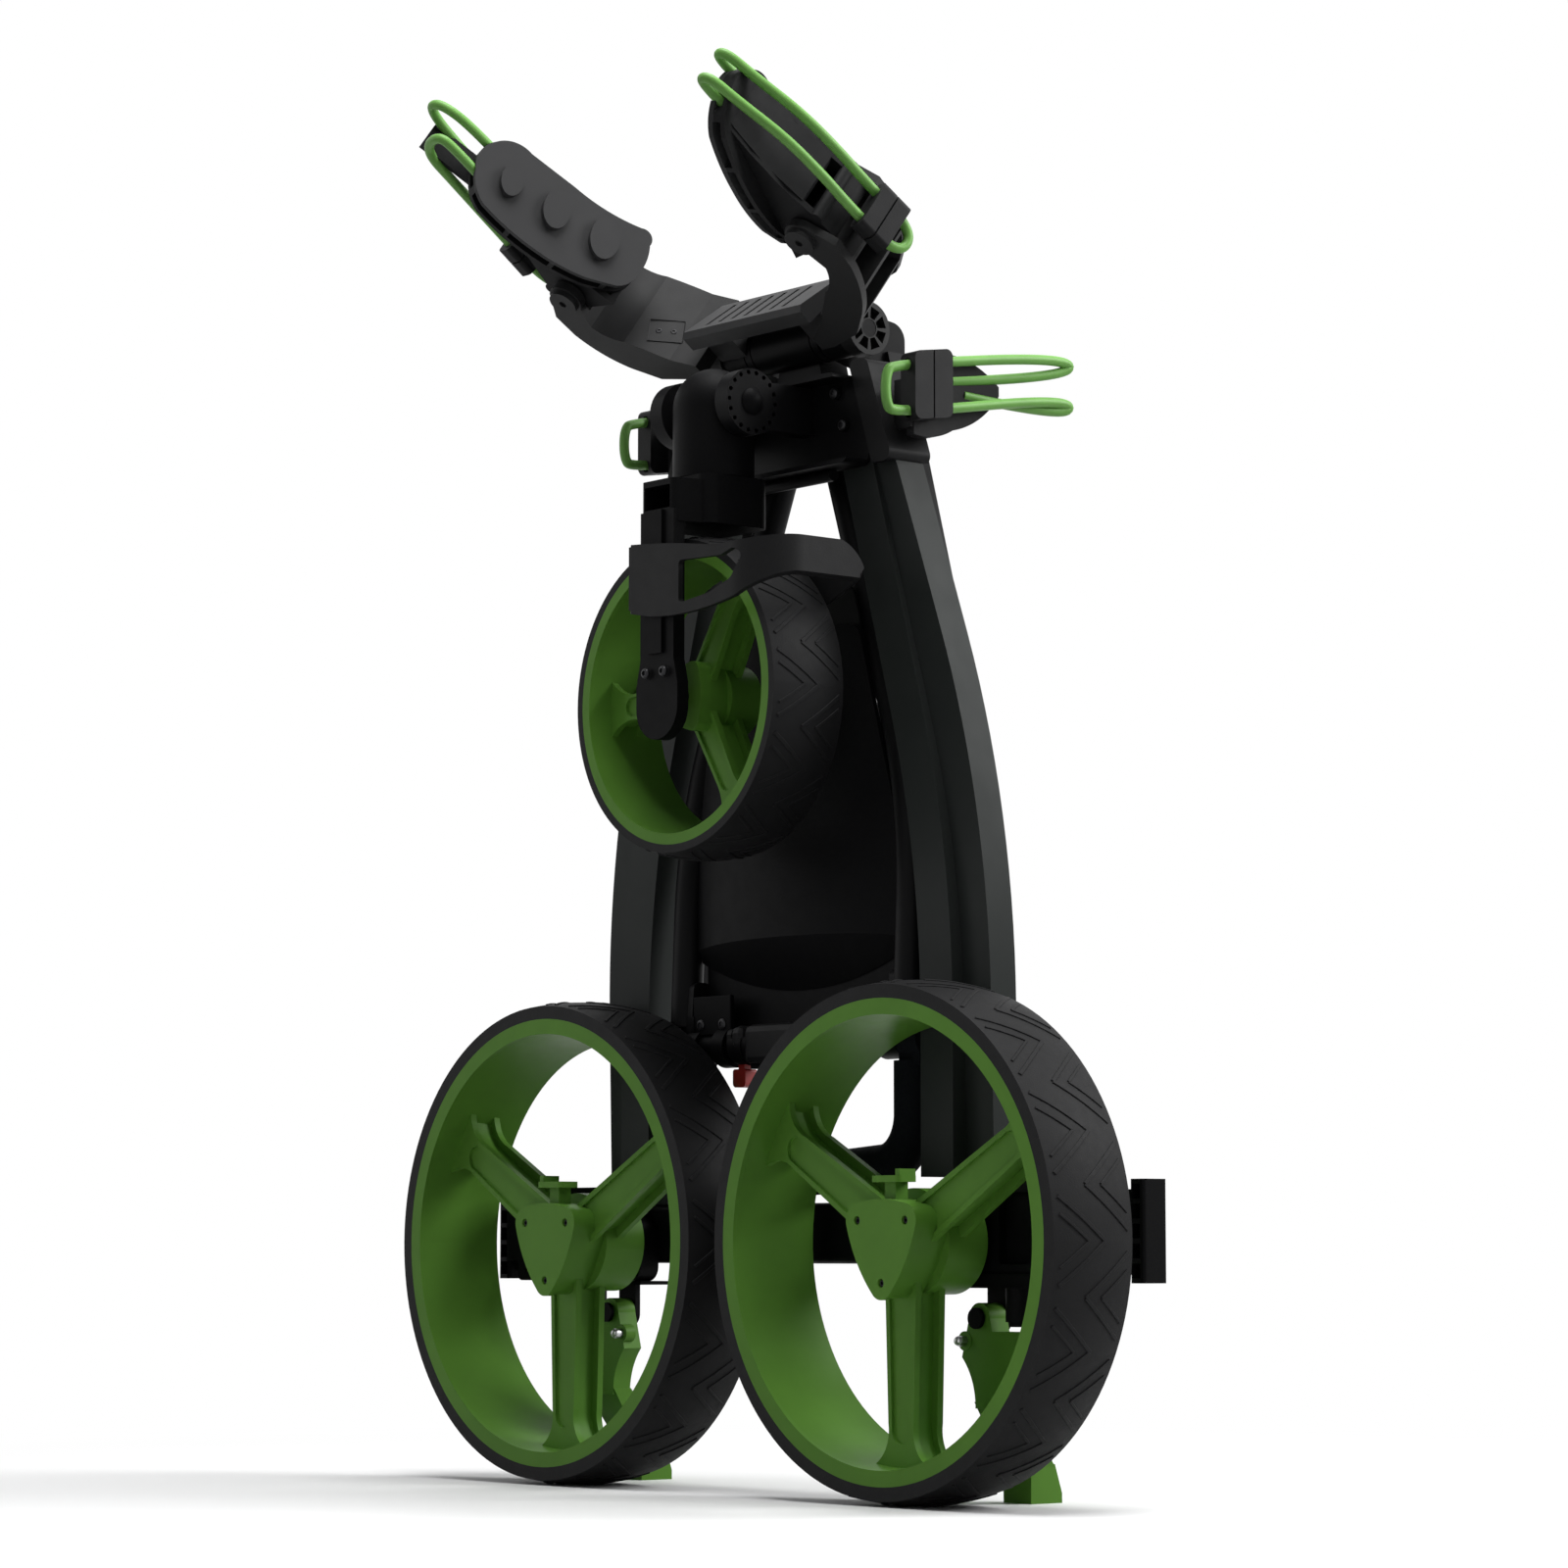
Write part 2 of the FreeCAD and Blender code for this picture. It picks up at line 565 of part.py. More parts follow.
def arm_hinge_bracket():
    """Plates above and below the beam's end with the wheel arm's pin between them and two dome bolts."""
    y_mid = (BEAM_FRONT_Y + BEAM_BACK_Y) / 2
    half = (BEAM_BACK_Y - BEAM_FRONT_Y) / 2
    start = BEAM_HALF - 62
    outline = [(start, y_mid - half), (ARM_HINGE_X, y_mid - half),
               (ARM_HINGE_X, y_mid + half, ARM_HINGE_X + half, y_mid), (start, y_mid + half)]
    pieces = []
    for z in (BEAM_TOP_Z, BEAM_BOTTOM_Z - PLATE):
        pieces.append(slab(outline, V(0, 0, z), X_DIR, Y_DIR, V(0, 0, PLATE)))
    pieces.append(rod(ARM_PIN_RADIUS, V(ARM_HINGE_X, y_mid, BEAM_BOTTOM_Z - PLATE), Z_DIR,
                      BEAM_TOP_Z - BEAM_BOTTOM_Z + 2 * PLATE))
    web = box((BEAM_HALF, BEAM_HALF + BRACKET_WEB), (BEAM_FRONT_Y, BEAM_BACK_Y), (BEAM_BOTTOM_Z, BEAM_TOP_Z))
    pieces.append(web)
    for x in (start + 14, start + 40):
        dome = Part.makeSphere(9, V(x, y_mid, BEAM_TOP_Z + PLATE - 4.5)).common(
            box((x - 10, x + 10), (y_mid - 10, y_mid + 10), (BEAM_TOP_Z + PLATE, BEAM_TOP_Z + 20)))
        pieces.append(dome)
    return fuse(*pieces)


def wheel_arm():
    """Casing that carries the wheel's axle and swings on the pin at the beam's end."""
    y_mid = (BEAM_FRONT_Y + BEAM_BACK_Y) / 2
    y = (BEAM_FRONT_Y - PIECE_GAP - ARM_THICK, BEAM_FRONT_Y - PIECE_GAP)
    low, high = ARM_BOX_Z
    neck = (BEAM_BOTTOM_Z + MOVING_GAP, BEAM_TOP_Z - MOVING_GAP)
    end_x = ARM_HINGE_X - ARM_KNUCKLE_RADIUS - 2
    outline = rounded([(ARM_BOX_INNER_X, low, 10), (end_x, low, 4), (end_x, high, 4),
                       (ARM_BOX_INNER_X + 26, high, 22), (ARM_BOX_INNER_X, high - 26, 14)], 4)
    casing = front_slab(outline, y)
    knuckle = rod(ARM_KNUCKLE_RADIUS, V(ARM_HINGE_X, y_mid, neck[0]), Z_DIR, neck[1] - neck[0])
    web = box((BEAM_HALF + BRACKET_WEB + 1, ARM_HINGE_X),
              (y_mid - ARM_KNUCKLE_RADIUS, y_mid - ARM_KNUCKLE_RADIUS + 6), neck)
    link = box((end_x - 6, ARM_HINGE_X), y, neck)
    arm = fuse(casing, link, knuckle, web)
    corner = rod(ARM_KNUCKLE_RADIUS + 14, V(ARM_HINGE_X, y_mid, low - 1), Z_DIR, high - low + 2)
    beyond = box((ARM_HINGE_X, ARM_HINGE_X + 40), (0, y_mid + 40), (low - 1, high + 1))
    arm = cut(arm, beyond.cut(rod(ARM_KNUCKLE_RADIUS, V(ARM_HINGE_X, y_mid, low - 1), Z_DIR, high - low + 2)))
    arm = cut(arm, rod(ARM_PIN_RADIUS + RUNNING_GAP, V(ARM_HINGE_X, y_mid, low - 1), Z_DIR, high - low + 2))
    # recess in the face, with its rounded lower corner
    (left, right), bottom, top = ARM_WINDOW_X, low + 12, high - 7
    window = rounded([(left, bottom, 3), (right, bottom, 9), (right, top, 3), (left, top, 3)], 3)
    arm = cut(arm, front_slab(window, (y[0], y[0] + 7)))
    # relief channel along the lower edge
    arm = cut(arm, box((ARM_BOX_INNER_X + 30, end_x - 8), (y[0], y[0] + 3), (low + 6, low + 8)))
    # axle boss bore
    arm = cut(arm, rod(AXLE_RADIUS, V(WHEEL_X, y[0] - 1, TYRE_RADIUS), Y_DIR, ARM_THICK + 2))
    # bracket under the casing: plate, two lugs with the lever's pin, and a rubber-tipped stop
    plate_y = (y[0] + 2, FOOT_Y[0])
    plate = box((ARM_BOX_INNER_X + 2, end_x - 22.5), plate_y, (low - 2.5, low))
    lug_low = LEVER_PIVOT_Z - 9
    lug_outline = rounded([(LEVER_X - 9, low - 2, 0), (LEVER_X - 9, lug_low, 8),
                           (LEVER_X + 9, lug_low, 8), (LEVER_X + 9, low - 2, 0)], 8)
    back_lug = front_slab(lug_outline, (y[1] + 2.5, y[1] + 6.5))
    pin = rod(LEVER_PIN_RADIUS, V(LEVER_X, y[0] + 1.5, LEVER_PIVOT_Z), Y_DIR, y[1] + 6.5 - y[0] - 1.5)
    head = rod(LEVER_PIN_RADIUS + 2.5, V(LEVER_X, y[0] - 1.0, LEVER_PIVOT_Z), Y_DIR, 2.5)
    stop_x = LEVER_X + LEVER_STOP_OUT
    stop = fuse(rod(9.5, V(stop_x, y[0] + 11, LEVER_PIVOT_Z - 2), Z_DIR, low - LEVER_PIVOT_Z),
                rod(7.5, V(stop_x, y[0] + 11, LEVER_PIVOT_Z - 5), Z_DIR, 4))
    return fuse(arm, plate, back_lug, pin, head, stop)


def arm_end_cap():
    """Ribbed plastic cap on the outer end of the wheel arm's knuckle."""
    y_mid = (BEAM_FRONT_Y + BEAM_BACK_Y) / 2
    low, high = ARM_BOX_Z[0] + 1, ARM_BOX_Z[1]
    x = (ARM_HINGE_X + ARM_KNUCKLE_RADIUS, ARM_HINGE_X + ARM_KNUCKLE_RADIUS + 12)
    y = (y_mid - 16, y_mid + 4)
    cap = slab(rounded([(x[0], y[0]), (x[1], y[0]), (x[1], y[1]), (x[0], y[1])], 2.5),
               V(0, 0, low), X_DIR, Y_DIR, V(0, 0, high - low))
    pocket_height = (high - low - 6 * 3) / 5
    for i in range(5):
        z = low + 3 + i * (pocket_height + 3)
        cap = cut(cap, box((x[0] + 2, x[1] - 3), (y[0] - 1, y[0] + 9), (z, z + pocket_height)))
    bridge = box((ARM_HINGE_X + ARM_KNUCKLE_RADIUS - 2.5, x[0]), (y_mid - 7, y_mid + 4),
                 (BEAM_BOTTOM_Z + MOVING_GAP, BEAM_TOP_Z - MOVING_GAP))
    hollow = rod(ARM_KNUCKLE_RADIUS, V(ARM_HINGE_X, y_mid, low), Z_DIR, high - low)
    return fuse(cap, bridge).cut(hollow)


def stand_lever():
    """Green lever: two ears on the pivot, waisted body, stepped shoulder and a wedge foot on the floor."""
    arm_y = (BEAM_FRONT_Y - PIECE_GAP - ARM_THICK, BEAM_FRONT_Y - PIECE_GAP)
    body_y = (arm_y[0] + 3, arm_y[1] + 2)
    ear_top = 9.5
    outline = [
        (LEVER_X - ear_top, LEVER_PIVOT_Z),
        (LEVER_X + ear_top, LEVER_PIVOT_Z, LEVER_X, LEVER_PIVOT_Z + ear_top),
        (LEVER_X + ear_top + 2, LEVER_PIVOT_Z - 8),
        (LEVER_X + 40, LEVER_PIVOT_Z - 8), (LEVER_X + 40, LEVER_PIVOT_Z - 20),
        (LEVER_X + 26, LEVER_PIVOT_Z - 52, LEVER_X + 31, LEVER_PIVOT_Z - 38),
        (FOOT_X[1], FOOT_HEIGHT), (FOOT_X[0], FOOT_HEIGHT),
        (LEVER_X - 4, LEVER_PIVOT_Z - 56),
        (LEVER_X - 16, LEVER_PIVOT_Z - 24, LEVER_X - 7, LEVER_PIVOT_Z - 38)]
    body = front_slab(outline, body_y)
    upper = body.cut(box((0, LEVER_X + 100), (0, FOOT_Y[1]), (0, LEVER_SPLIT_Z)))
    # the shank steps back from the pivot's plane to the foot's
    top_z = LEVER_SPLIT_Z + 4
    reach = front_slab([(LEVER_X - 5, top_z), (LEVER_X + 27, top_z), (FOOT_X[1], FOOT_HEIGHT - 2),
                        (FOOT_X[0], FOOT_HEIGHT - 2)], (body_y[0], FOOT_Y[1]))
    shank = reach.common(side_slab([(body_y[0], top_z), (body_y[1], top_z), (FOOT_Y[1] - 6, FOOT_HEIGHT - 2),
                                    (FOOT_Y[0], FOOT_HEIGHT - 2)], (LEVER_X - 100, LEVER_X + 100)))
    foot = slab([(FOOT_Y[0], 0), (FOOT_Y[1], 0), (FOOT_Y[1], 6), (FOOT_Y[1] - 6, FOOT_HEIGHT),
                 (FOOT_Y[0], FOOT_HEIGHT)],
                V(FOOT_X[0], 0, 0), Y_DIR, Z_DIR, V(FOOT_X[1] - FOOT_X[0], 0, 0))
    boss = rod(6, V(LEVER_X - 13, body_y[0] - 0.5, LEVER_PIVOT_Z - 14), Y_DIR, 8)
    lever = fuse(upper, shank, foot, boss)
    # weight-saving windows in the body
    window = rounded([(LEVER_X + 4, LEVER_PIVOT_Z - 20), (LEVER_X + 24, LEVER_PIVOT_Z - 20),
                      (LEVER_X + 16, LEVER_PIVOT_Z - 44), (LEVER_X + 5, LEVER_PIVOT_Z - 44)], 3)
    lever = cut(lever, front_slab(window, (body_y[1] - 5, body_y[1] + 1)))
    lever = cut(lever, rod(LEVER_PIN_RADIUS + RUNNING_GAP, V(LEVER_X, 0, LEVER_PIVOT_Z), Y_DIR, 200))
    stud = fuse(rod(3.2, V(LEVER_X - 13, body_y[0] - 5.5, LEVER_PIVOT_Z - 14), Y_DIR, 5),
                Part.makeSphere(3.0, V(LEVER_X - 13, body_y[0] - 5.5, LEVER_PIVOT_Z - 14)))
    return lever, stud


def blade_grown(growth):
    """The blade's outside, enlarged, for cutting neighbouring pieces clear of it."""
    outline = band_outline(BLADE_FOOT_Z, BLADE_TOP_Z + growth, inner_edge, INNER_BEND_TOP,
                           outer_edge, OUTER_BEND_TOP, -growth)
    return front_slab(outline, (BLADE_FRONT_Y - growth, BLADE_FRONT_Y + BLADE_DEPTH + growth))


def collar_inner_x(z):
    return COLLAR_TOP_INNER + COLLAR_SPLAY * (COLLAR_TOP_Z - z)


def top_plate():
    """U channel between the blades with the fork hinge's two toothed lugs."""
    low, high = PLATE_Z
    gap = 1.0

    def outline(inset):
        a, b = low + inset, high - inset
        return rounded([
            (-collar_inner_x(a) + gap + inset, a, 9), (collar_inner_x(a) - gap - inset, a, 9),
            (collar_inner_x(b) - gap - inset, b, 3), (-collar_inner_x(b) + gap + inset, b, 3)], 3)
    channel = front_slab(outline(0), PLATE_Y)
    hollow = front_slab(outline(PLATE_WALL), (PLATE_Y[0] - 1, PLATE_Y[1] - PLATE_WALL))
    sides = box((-200, 200), (PLATE_Y[0] - 1, PLATE_Y[1] - PLATE_WALL), (low + PLATE_WALL, high - PLATE_WALL))
    channel = cut(channel, fuse(hollow, sides))
    lugs = []
    for side in (1, -1):
        x = LUG_X if side > 0 else (-LUG_X[1], -LUG_X[0])
        ring = rod(RING_RADIUS, V(x[0], FORK_Y, FORK_HINGE_Z), X_DIR, x[1] - x[0])
        stem = box(x, (FORK_Y, PLATE_Y[1] - PLATE_WALL), (FORK_HINGE_Z - 17, FORK_HINGE_Z + 14))
        notches = []
        outer_x = x[1] - 3 if side > 0 else x[0]
        for i in range(RING_TEETH):
            a = 2 * math.pi * i / RING_TEETH
            spot = V(outer_x - 1, FORK_Y + (RING_RADIUS - 2.5) * math.cos(a),
                     FORK_HINGE_Z + (RING_RADIUS - 2.5) * math.sin(a))
            notches.append(rod(1.5, spot, X_DIR, 5))
        lugs.append(cut(fuse(ring, stem), *notches))
    bore = rod(FORK_PIN_RADIUS + RUNNING_GAP, V(-50, FORK_Y, FORK_HINGE_Z), X_DIR, 100)
    bar = rod(4, V(-62, PLATE_Y[1] - 6, low - 3.5), X_DIR, 124)
    plate = cut(fuse(channel, *lugs, bar), bore)
    bolts = []
    for side in (1, -1):
        for x, z in ((62.0, 705.0), (70.0, 683.0)):
            bolts.append(rod(4.2, V(side * x, PLATE_Y[1] - PLATE_WALL - 2.6, z), Y_DIR, 3))
    return fuse(plate, *bolts)


def collar_solid(growth):
    low, high = COLLAR_LOW_Z, COLLAR_TOP_Z
    outline = rounded([
        (collar_inner_x(low) - growth, low - growth, 4), (outer_edge(low) + 5 + growth, low - growth, 6),
        (outer_edge(high) + 5 + growth, high + growth, 6),
        (collar_inner_x(high) - growth, high + growth, 4)], 4)
    return front_slab(outline, (COLLAR_Y[0] - growth, COLLAR_Y[1] + growth))


def collar():
    """Plastic collar round the blade's outer land."""
    return collar_solid(0.0).cut(blade_grown(0.4))


# ---------------------------------------------------------------- front fork
def fork_head():
    """Domed stem that swings between the toothed lugs; the crown turns below it."""
    centre = V(0, FORK_Y, FORK_HINGE_Z)
    dome = Part.makeSphere(DOME_RADIUS, centre)
    barrel = rod(DOME_RADIUS, V(0, FORK_Y, STEM_SPLIT_Z + PIECE_GAP), Z_DIR,
                 FORK_HINGE_Z - STEM_SPLIT_Z - PIECE_GAP)
    flat = box((-DOME_RADIUS, DOME_RADIUS), (FORK_Y - 50, FORK_Y + 50), (600, 760))
    pin = rod(FORK_PIN_RADIUS, V(-LUG_X[1] - 1, FORK_Y, FORK_HINGE_Z), X_DIR, 2 * LUG_X[1] + 2)
    heads = []
    for side in (1, -1):
        start = LUG_X[1] + 0.5
        head = Part.makeSphere(11, V(start - 6.5, FORK_Y, FORK_HINGE_Z)).common(
            box((start, start + 6), (-20, 60), (660, 730)))
        heads.append(head if side > 0 else mirrored(head))
    body = fuse(dome, barrel).common(flat)
    neck = rod(9, V(0, FORK_Y, STEM_SPLIT_Z - 14), Z_DIR, 20)
    return fuse(body, neck, pin, *heads)


def fork():
    """Crown under the stem, shoulder forwards over the tyre and one flat arm with a rounded foot."""
    z = (CROWN_LOW_Z, STEM_SPLIT_Z)
    half = CROWN_HALF
    crown = slab(rounded([(-half, FORK_Y - half), (half, FORK_Y - half), (half, FORK_Y + half),
                          (-half, FORK_Y + half)],
                         9), V(0, 0, z[0]), X_DIR, Y_DIR, V(0, 0, z[1] - z[0]))
    arm_y = (FORK_ARM_Y, FORK_ARM_Y + FORK_ARM_THICK)
    shoulder_outline = rounded([
        (-FORK_ARM_HALF, arm_y[0], 5), (FORK_ARM_HALF, arm_y[0], 5),
        (half - 1, FORK_Y, 0), (-half + 1, FORK_Y, 0)], 5)
    shoulder = slab(shoulder_outline, V(0, 0, z[0]), X_DIR, Y_DIR, V(0, 0, z[1] - z[0] - 4))
    foot_r = FORK_ARM_HALF + 4
    outline = [
        (-FORK_ARM_HALF, z[0] + 8), (-FORK_ARM_HALF, FRONT_WHEEL_Z + 22),
        (-foot_r, FRONT_WHEEL_Z + 6), (-foot_r, FRONT_WHEEL_Z - 8),
        (foot_r, FRONT_WHEEL_Z - 8, 0, FRONT_WHEEL_Z - 8 - foot_r), (foot_r, FRONT_WHEEL_Z + 6),
        (FORK_ARM_HALF, FRONT_WHEEL_Z + 22), (FORK_ARM_HALF, z[0] + 8)]
    arm = front_slab(outline, arm_y)
    ridge = front_slab([(-7, z[0] + 8), (-7, FRONT_WHEEL_Z + 26), (7, FRONT_WHEEL_Z + 26), (7, z[0] + 8)],
                       (arm_y[0] - 2.2, arm_y[0] + 1))
    axle = rod(AXLE_RADIUS - 2, V(0, arm_y[1] - 3, FRONT_WHEEL_Z), Y_DIR,
               FRONT_FACE_Y + FRONT_WIDTH - 1 - arm_y[1])
    screws = [Part.makeSphere(5, V(x, arm_y[0] + 2.8, FRONT_WHEEL_Z + 14)).common(
        box((-20, 20), (arm_y[0] - 4, arm_y[0] + 1), (480, 540))) for x in (-9, 9)]
    body = fuse(crown, shoulder, arm, ridge, axle, *screws)
    # bore for the stem and a window with room for the tracking knob
    body = cut(body, rod(9 + RUNNING_GAP, V(0, FORK_Y, STEM_SPLIT_Z - 15), Z_DIR, 30))
    window = box((-13, 13), (FORK_Y - CROWN_HALF - 20, FORK_Y - 14), (z[0] + 9, z[1] - 8))
    return cut(body, window)


def tracking_knob():
    """Knurled thumb roller lying across the crown's window."""
    y, z = FORK_Y - 20.5, CROWN_LOW_Z + 16.5
    knob = rod(6.2, V(-12.4, y, z), X_DIR, 24.8)
    grooves = []
    for i in range(12):
        a = 2 * math.pi * i / 12
        grooves.append(rod(1.0, V(-13, y + 6.6 * math.cos(a), z + 6.6 * math.sin(a)), X_DIR, 26))
    return cut(knob, *grooves)


def mudguard():
    """Windowed side plate on the fork's arm that turns round the tyre's side and ends in a rounded tongue."""
    face_y, side_x, end_y, wall = GUARD_FACE_Y, GUARD_SIDE_X, GUARD_END_Y, GUARD_WALL
    left = -FORK_ARM_HALF - 4
    plan = rounded([
        (left, face_y, 3), (side_x, face_y, GUARD_CORNER), (side_x, end_y, 0), (side_x - wall, end_y, 0),
        (side_x - wall, face_y + wall, GUARD_CORNER - wall), (left, face_y + wall, 0)], 3)
    hoop = slab(plan, V(0, 0, 540), X_DIR, Y_DIR, V(0, 0, 80))
    front = [
        (left, 561), (left, 605.5), (60, 596.6, 15, 602.5), (side_x + 5, 600.5, 90, 596.3),
        (side_x + 5, 579.5), (85, 561.5, 104, 570.5), (0, 557, 40, 555.8)]
    side = [
        (face_y - 10, 540), (face_y - 10, 620), (5, 620), (5, 600.5),
        (end_y + 0.5, 583, 27, 596), (end_y - 3, 579), (end_y - 3, 540)]
    hoop = hoop.common(front_slab(front, (face_y - 10, end_y + 10)))
    hoop = hoop.common(side_slab(side, (left - 10, side_x + 10)))
    window = rounded([
        (30, 562.5, 3), (30, 590, 3), (72, 588.5, 8), (84, 592, 5), (93, 588, 4), (82, 573, 10),
        (60, 566, 18)], 3)
    hoop = cut(hoop, front_slab(window, (face_y - 1, face_y + wall + 1)))
    cheek = box((left, left + 3.4), (face_y, FORK_ARM_Y + FORK_ARM_THICK + 1), (563, 604))
    return fuse(hoop, cheek)


# ---------------------------------------------------------------- upright frame, barrel and cradle
def strut_edge(shift):
    return lambda z: inner_edge(z) + STRUT_OFFSET + shift


def upright():
    """Hollow strut behind the blade, its foot on the beam's pin and its yoke round the barrel's knuckle."""
    y = (BLADE_FRONT_Y + BLADE_DEPTH + STRUT_GAP, BLADE_FRONT_Y + BLADE_DEPTH + STRUT_GAP + STRUT_DEPTH)
    half = STRUT_WIDTH / 2
    outer = front_slab(band_outline(UPRIGHT_PIN_Z, STRUT_TOP_Z, strut_edge(-half), INNER_BEND_TOP,
                                    strut_edge(half), OUTER_BEND_TOP, 0), y)
    hollow = front_slab(band_outline(UPRIGHT_PIN_Z + 20, STRUT_TOP_Z - 8, strut_edge(-half), INNER_BEND_TOP,
                                     strut_edge(half), OUTER_BEND_TOP, 2.2), (y[0] + 2.2, y[1] - 2.2))
    foot_x = inner_edge(UPRIGHT_PIN_Z) + STRUT_OFFSET
    foot = rod(STRUT_DEPTH / 2, V(foot_x - half, strut_y_middle(), UPRIGHT_PIN_Z), X_DIR, STRUT_WIDTH)
    knuckle_x = (KNUCKLE_SPLIT, BARREL_HALF)
    yoke = side_slab(rounded([(BARREL_Y, BARREL_Z - 14, 0), (y[1], STRUT_TOP_Z - 14, 0),
                              (y[1], BARREL_Z + 8, 12),
                              (BARREL_Y, BARREL_Z + 14, 0)], 10), (KNUCKLE_SPLIT + 2, BARREL_HALF))
    yoke = yoke.cut(box((0, 100), (0, y[0] - 5), (0, BLADE_TOP_Z + 15)))
    knuckle = rod(BARREL_RADIUS, V(knuckle_x[0], BARREL_Y, BARREL_Z), X_DIR, knuckle_x[1] - knuckle_x[0])
    groove = cut(rod(BARREL_RADIUS + 1, V(KNUCKLE_SPLIT + 6, BARREL_Y, BARREL_Z), X_DIR, 1.2),
                 rod(BARREL_RADIUS - 0.8, V(KNUCKLE_SPLIT + 5, BARREL_Y, BARREL_Z), X_DIR, 4))
    body = fuse(outer.cut(hollow), foot, yoke)
    body = fuse(body, knuckle).cut(groove.cut(yoke))
    body = cut(body, rod(UPRIGHT_PIN_RADIUS + RUNNING_GAP, V(foot_x - 40, strut_y_middle(), UPRIGHT_PIN_Z),
                         X_DIR, 80))
    return cut(body, rod(BARREL_PIN_RADIUS, V(-5, BARREL_Y, BARREL_Z), X_DIR, 200))



def barrel_pin():
    return rod(BARREL_PIN_RADIUS, V(-BARREL_HALF - 12, BARREL_Y, BARREL_Z), X_DIR, 2 * BARREL_HALF + 24)


TILT = math.radians(CRADLE_TILT)
S_DIR = V(0, -math.cos(TILT), math.sin(TILT))
W_DIR = V(0, math.sin(TILT), math.cos(TILT))
CRADLE_ORIGIN = V(0, BARREL_Y, BARREL_Z)


def cradle_slab(outline, w):
    """Outline in (x, s) extruded along the bag."""
    return slab(outline, CRADLE_ORIGIN + W_DIR * w[0], X_DIR, S_DIR, W_DIR * (w[1] - w[0]))


def cradle_base():
    """Slotted rest between the arms, sloping across the bag, standing on two feet on the barrel."""
    near, far = -24.0, 22.0
    top = (BASE_S[1] + 4, BASE_S[1] - 9)
    section = [(BASE_S[0] + 2, near), (top[0] - 3, near), (top[0], near + 4), (top[1], far - 4),
               (top[1] - 3, far),
               (BASE_S[0] - 10, far)]
    plate = slab(section, CRADLE_ORIGIN + X_DIR * (-BARREL_HALF), S_DIR, W_DIR, X_DIR * (2 * BARREL_HALF))
    slots = []
    for i in range(7):
        x = -43 + i * 13
        slots.append(cradle_slab(rounded([
            (x, BASE_S[0] - 12), (x + 4, BASE_S[0] - 12), (x + 4, BASE_S[1] + 6),
            (x, BASE_S[1] + 6)], 0), (-15, 13)))
    floor = slab([(BASE_S[0] - 1, near), (BASE_S[0] + 4, near), (BASE_S[0] - 5, far), (BASE_S[0] - 10, far)],
                 CRADLE_ORIGIN + X_DIR * (-BARREL_HALF), S_DIR, W_DIR, X_DIR * (2 * BARREL_HALF))
    feet = []
    for x in (34.0, -60.0):
        feet.append(cradle_slab([(x, 2), (x + 26, 2), (x + 26, BASE_S[0] - 4), (x, BASE_S[0] - 4)],
                                (-13, 13)))
    barrel = rod(BARREL_RADIUS + 0.02, V(-80, BARREL_Y, BARREL_Z), X_DIR, 160)
    return cut(fuse(cut(plate, *slots), floor, *feet), barrel)


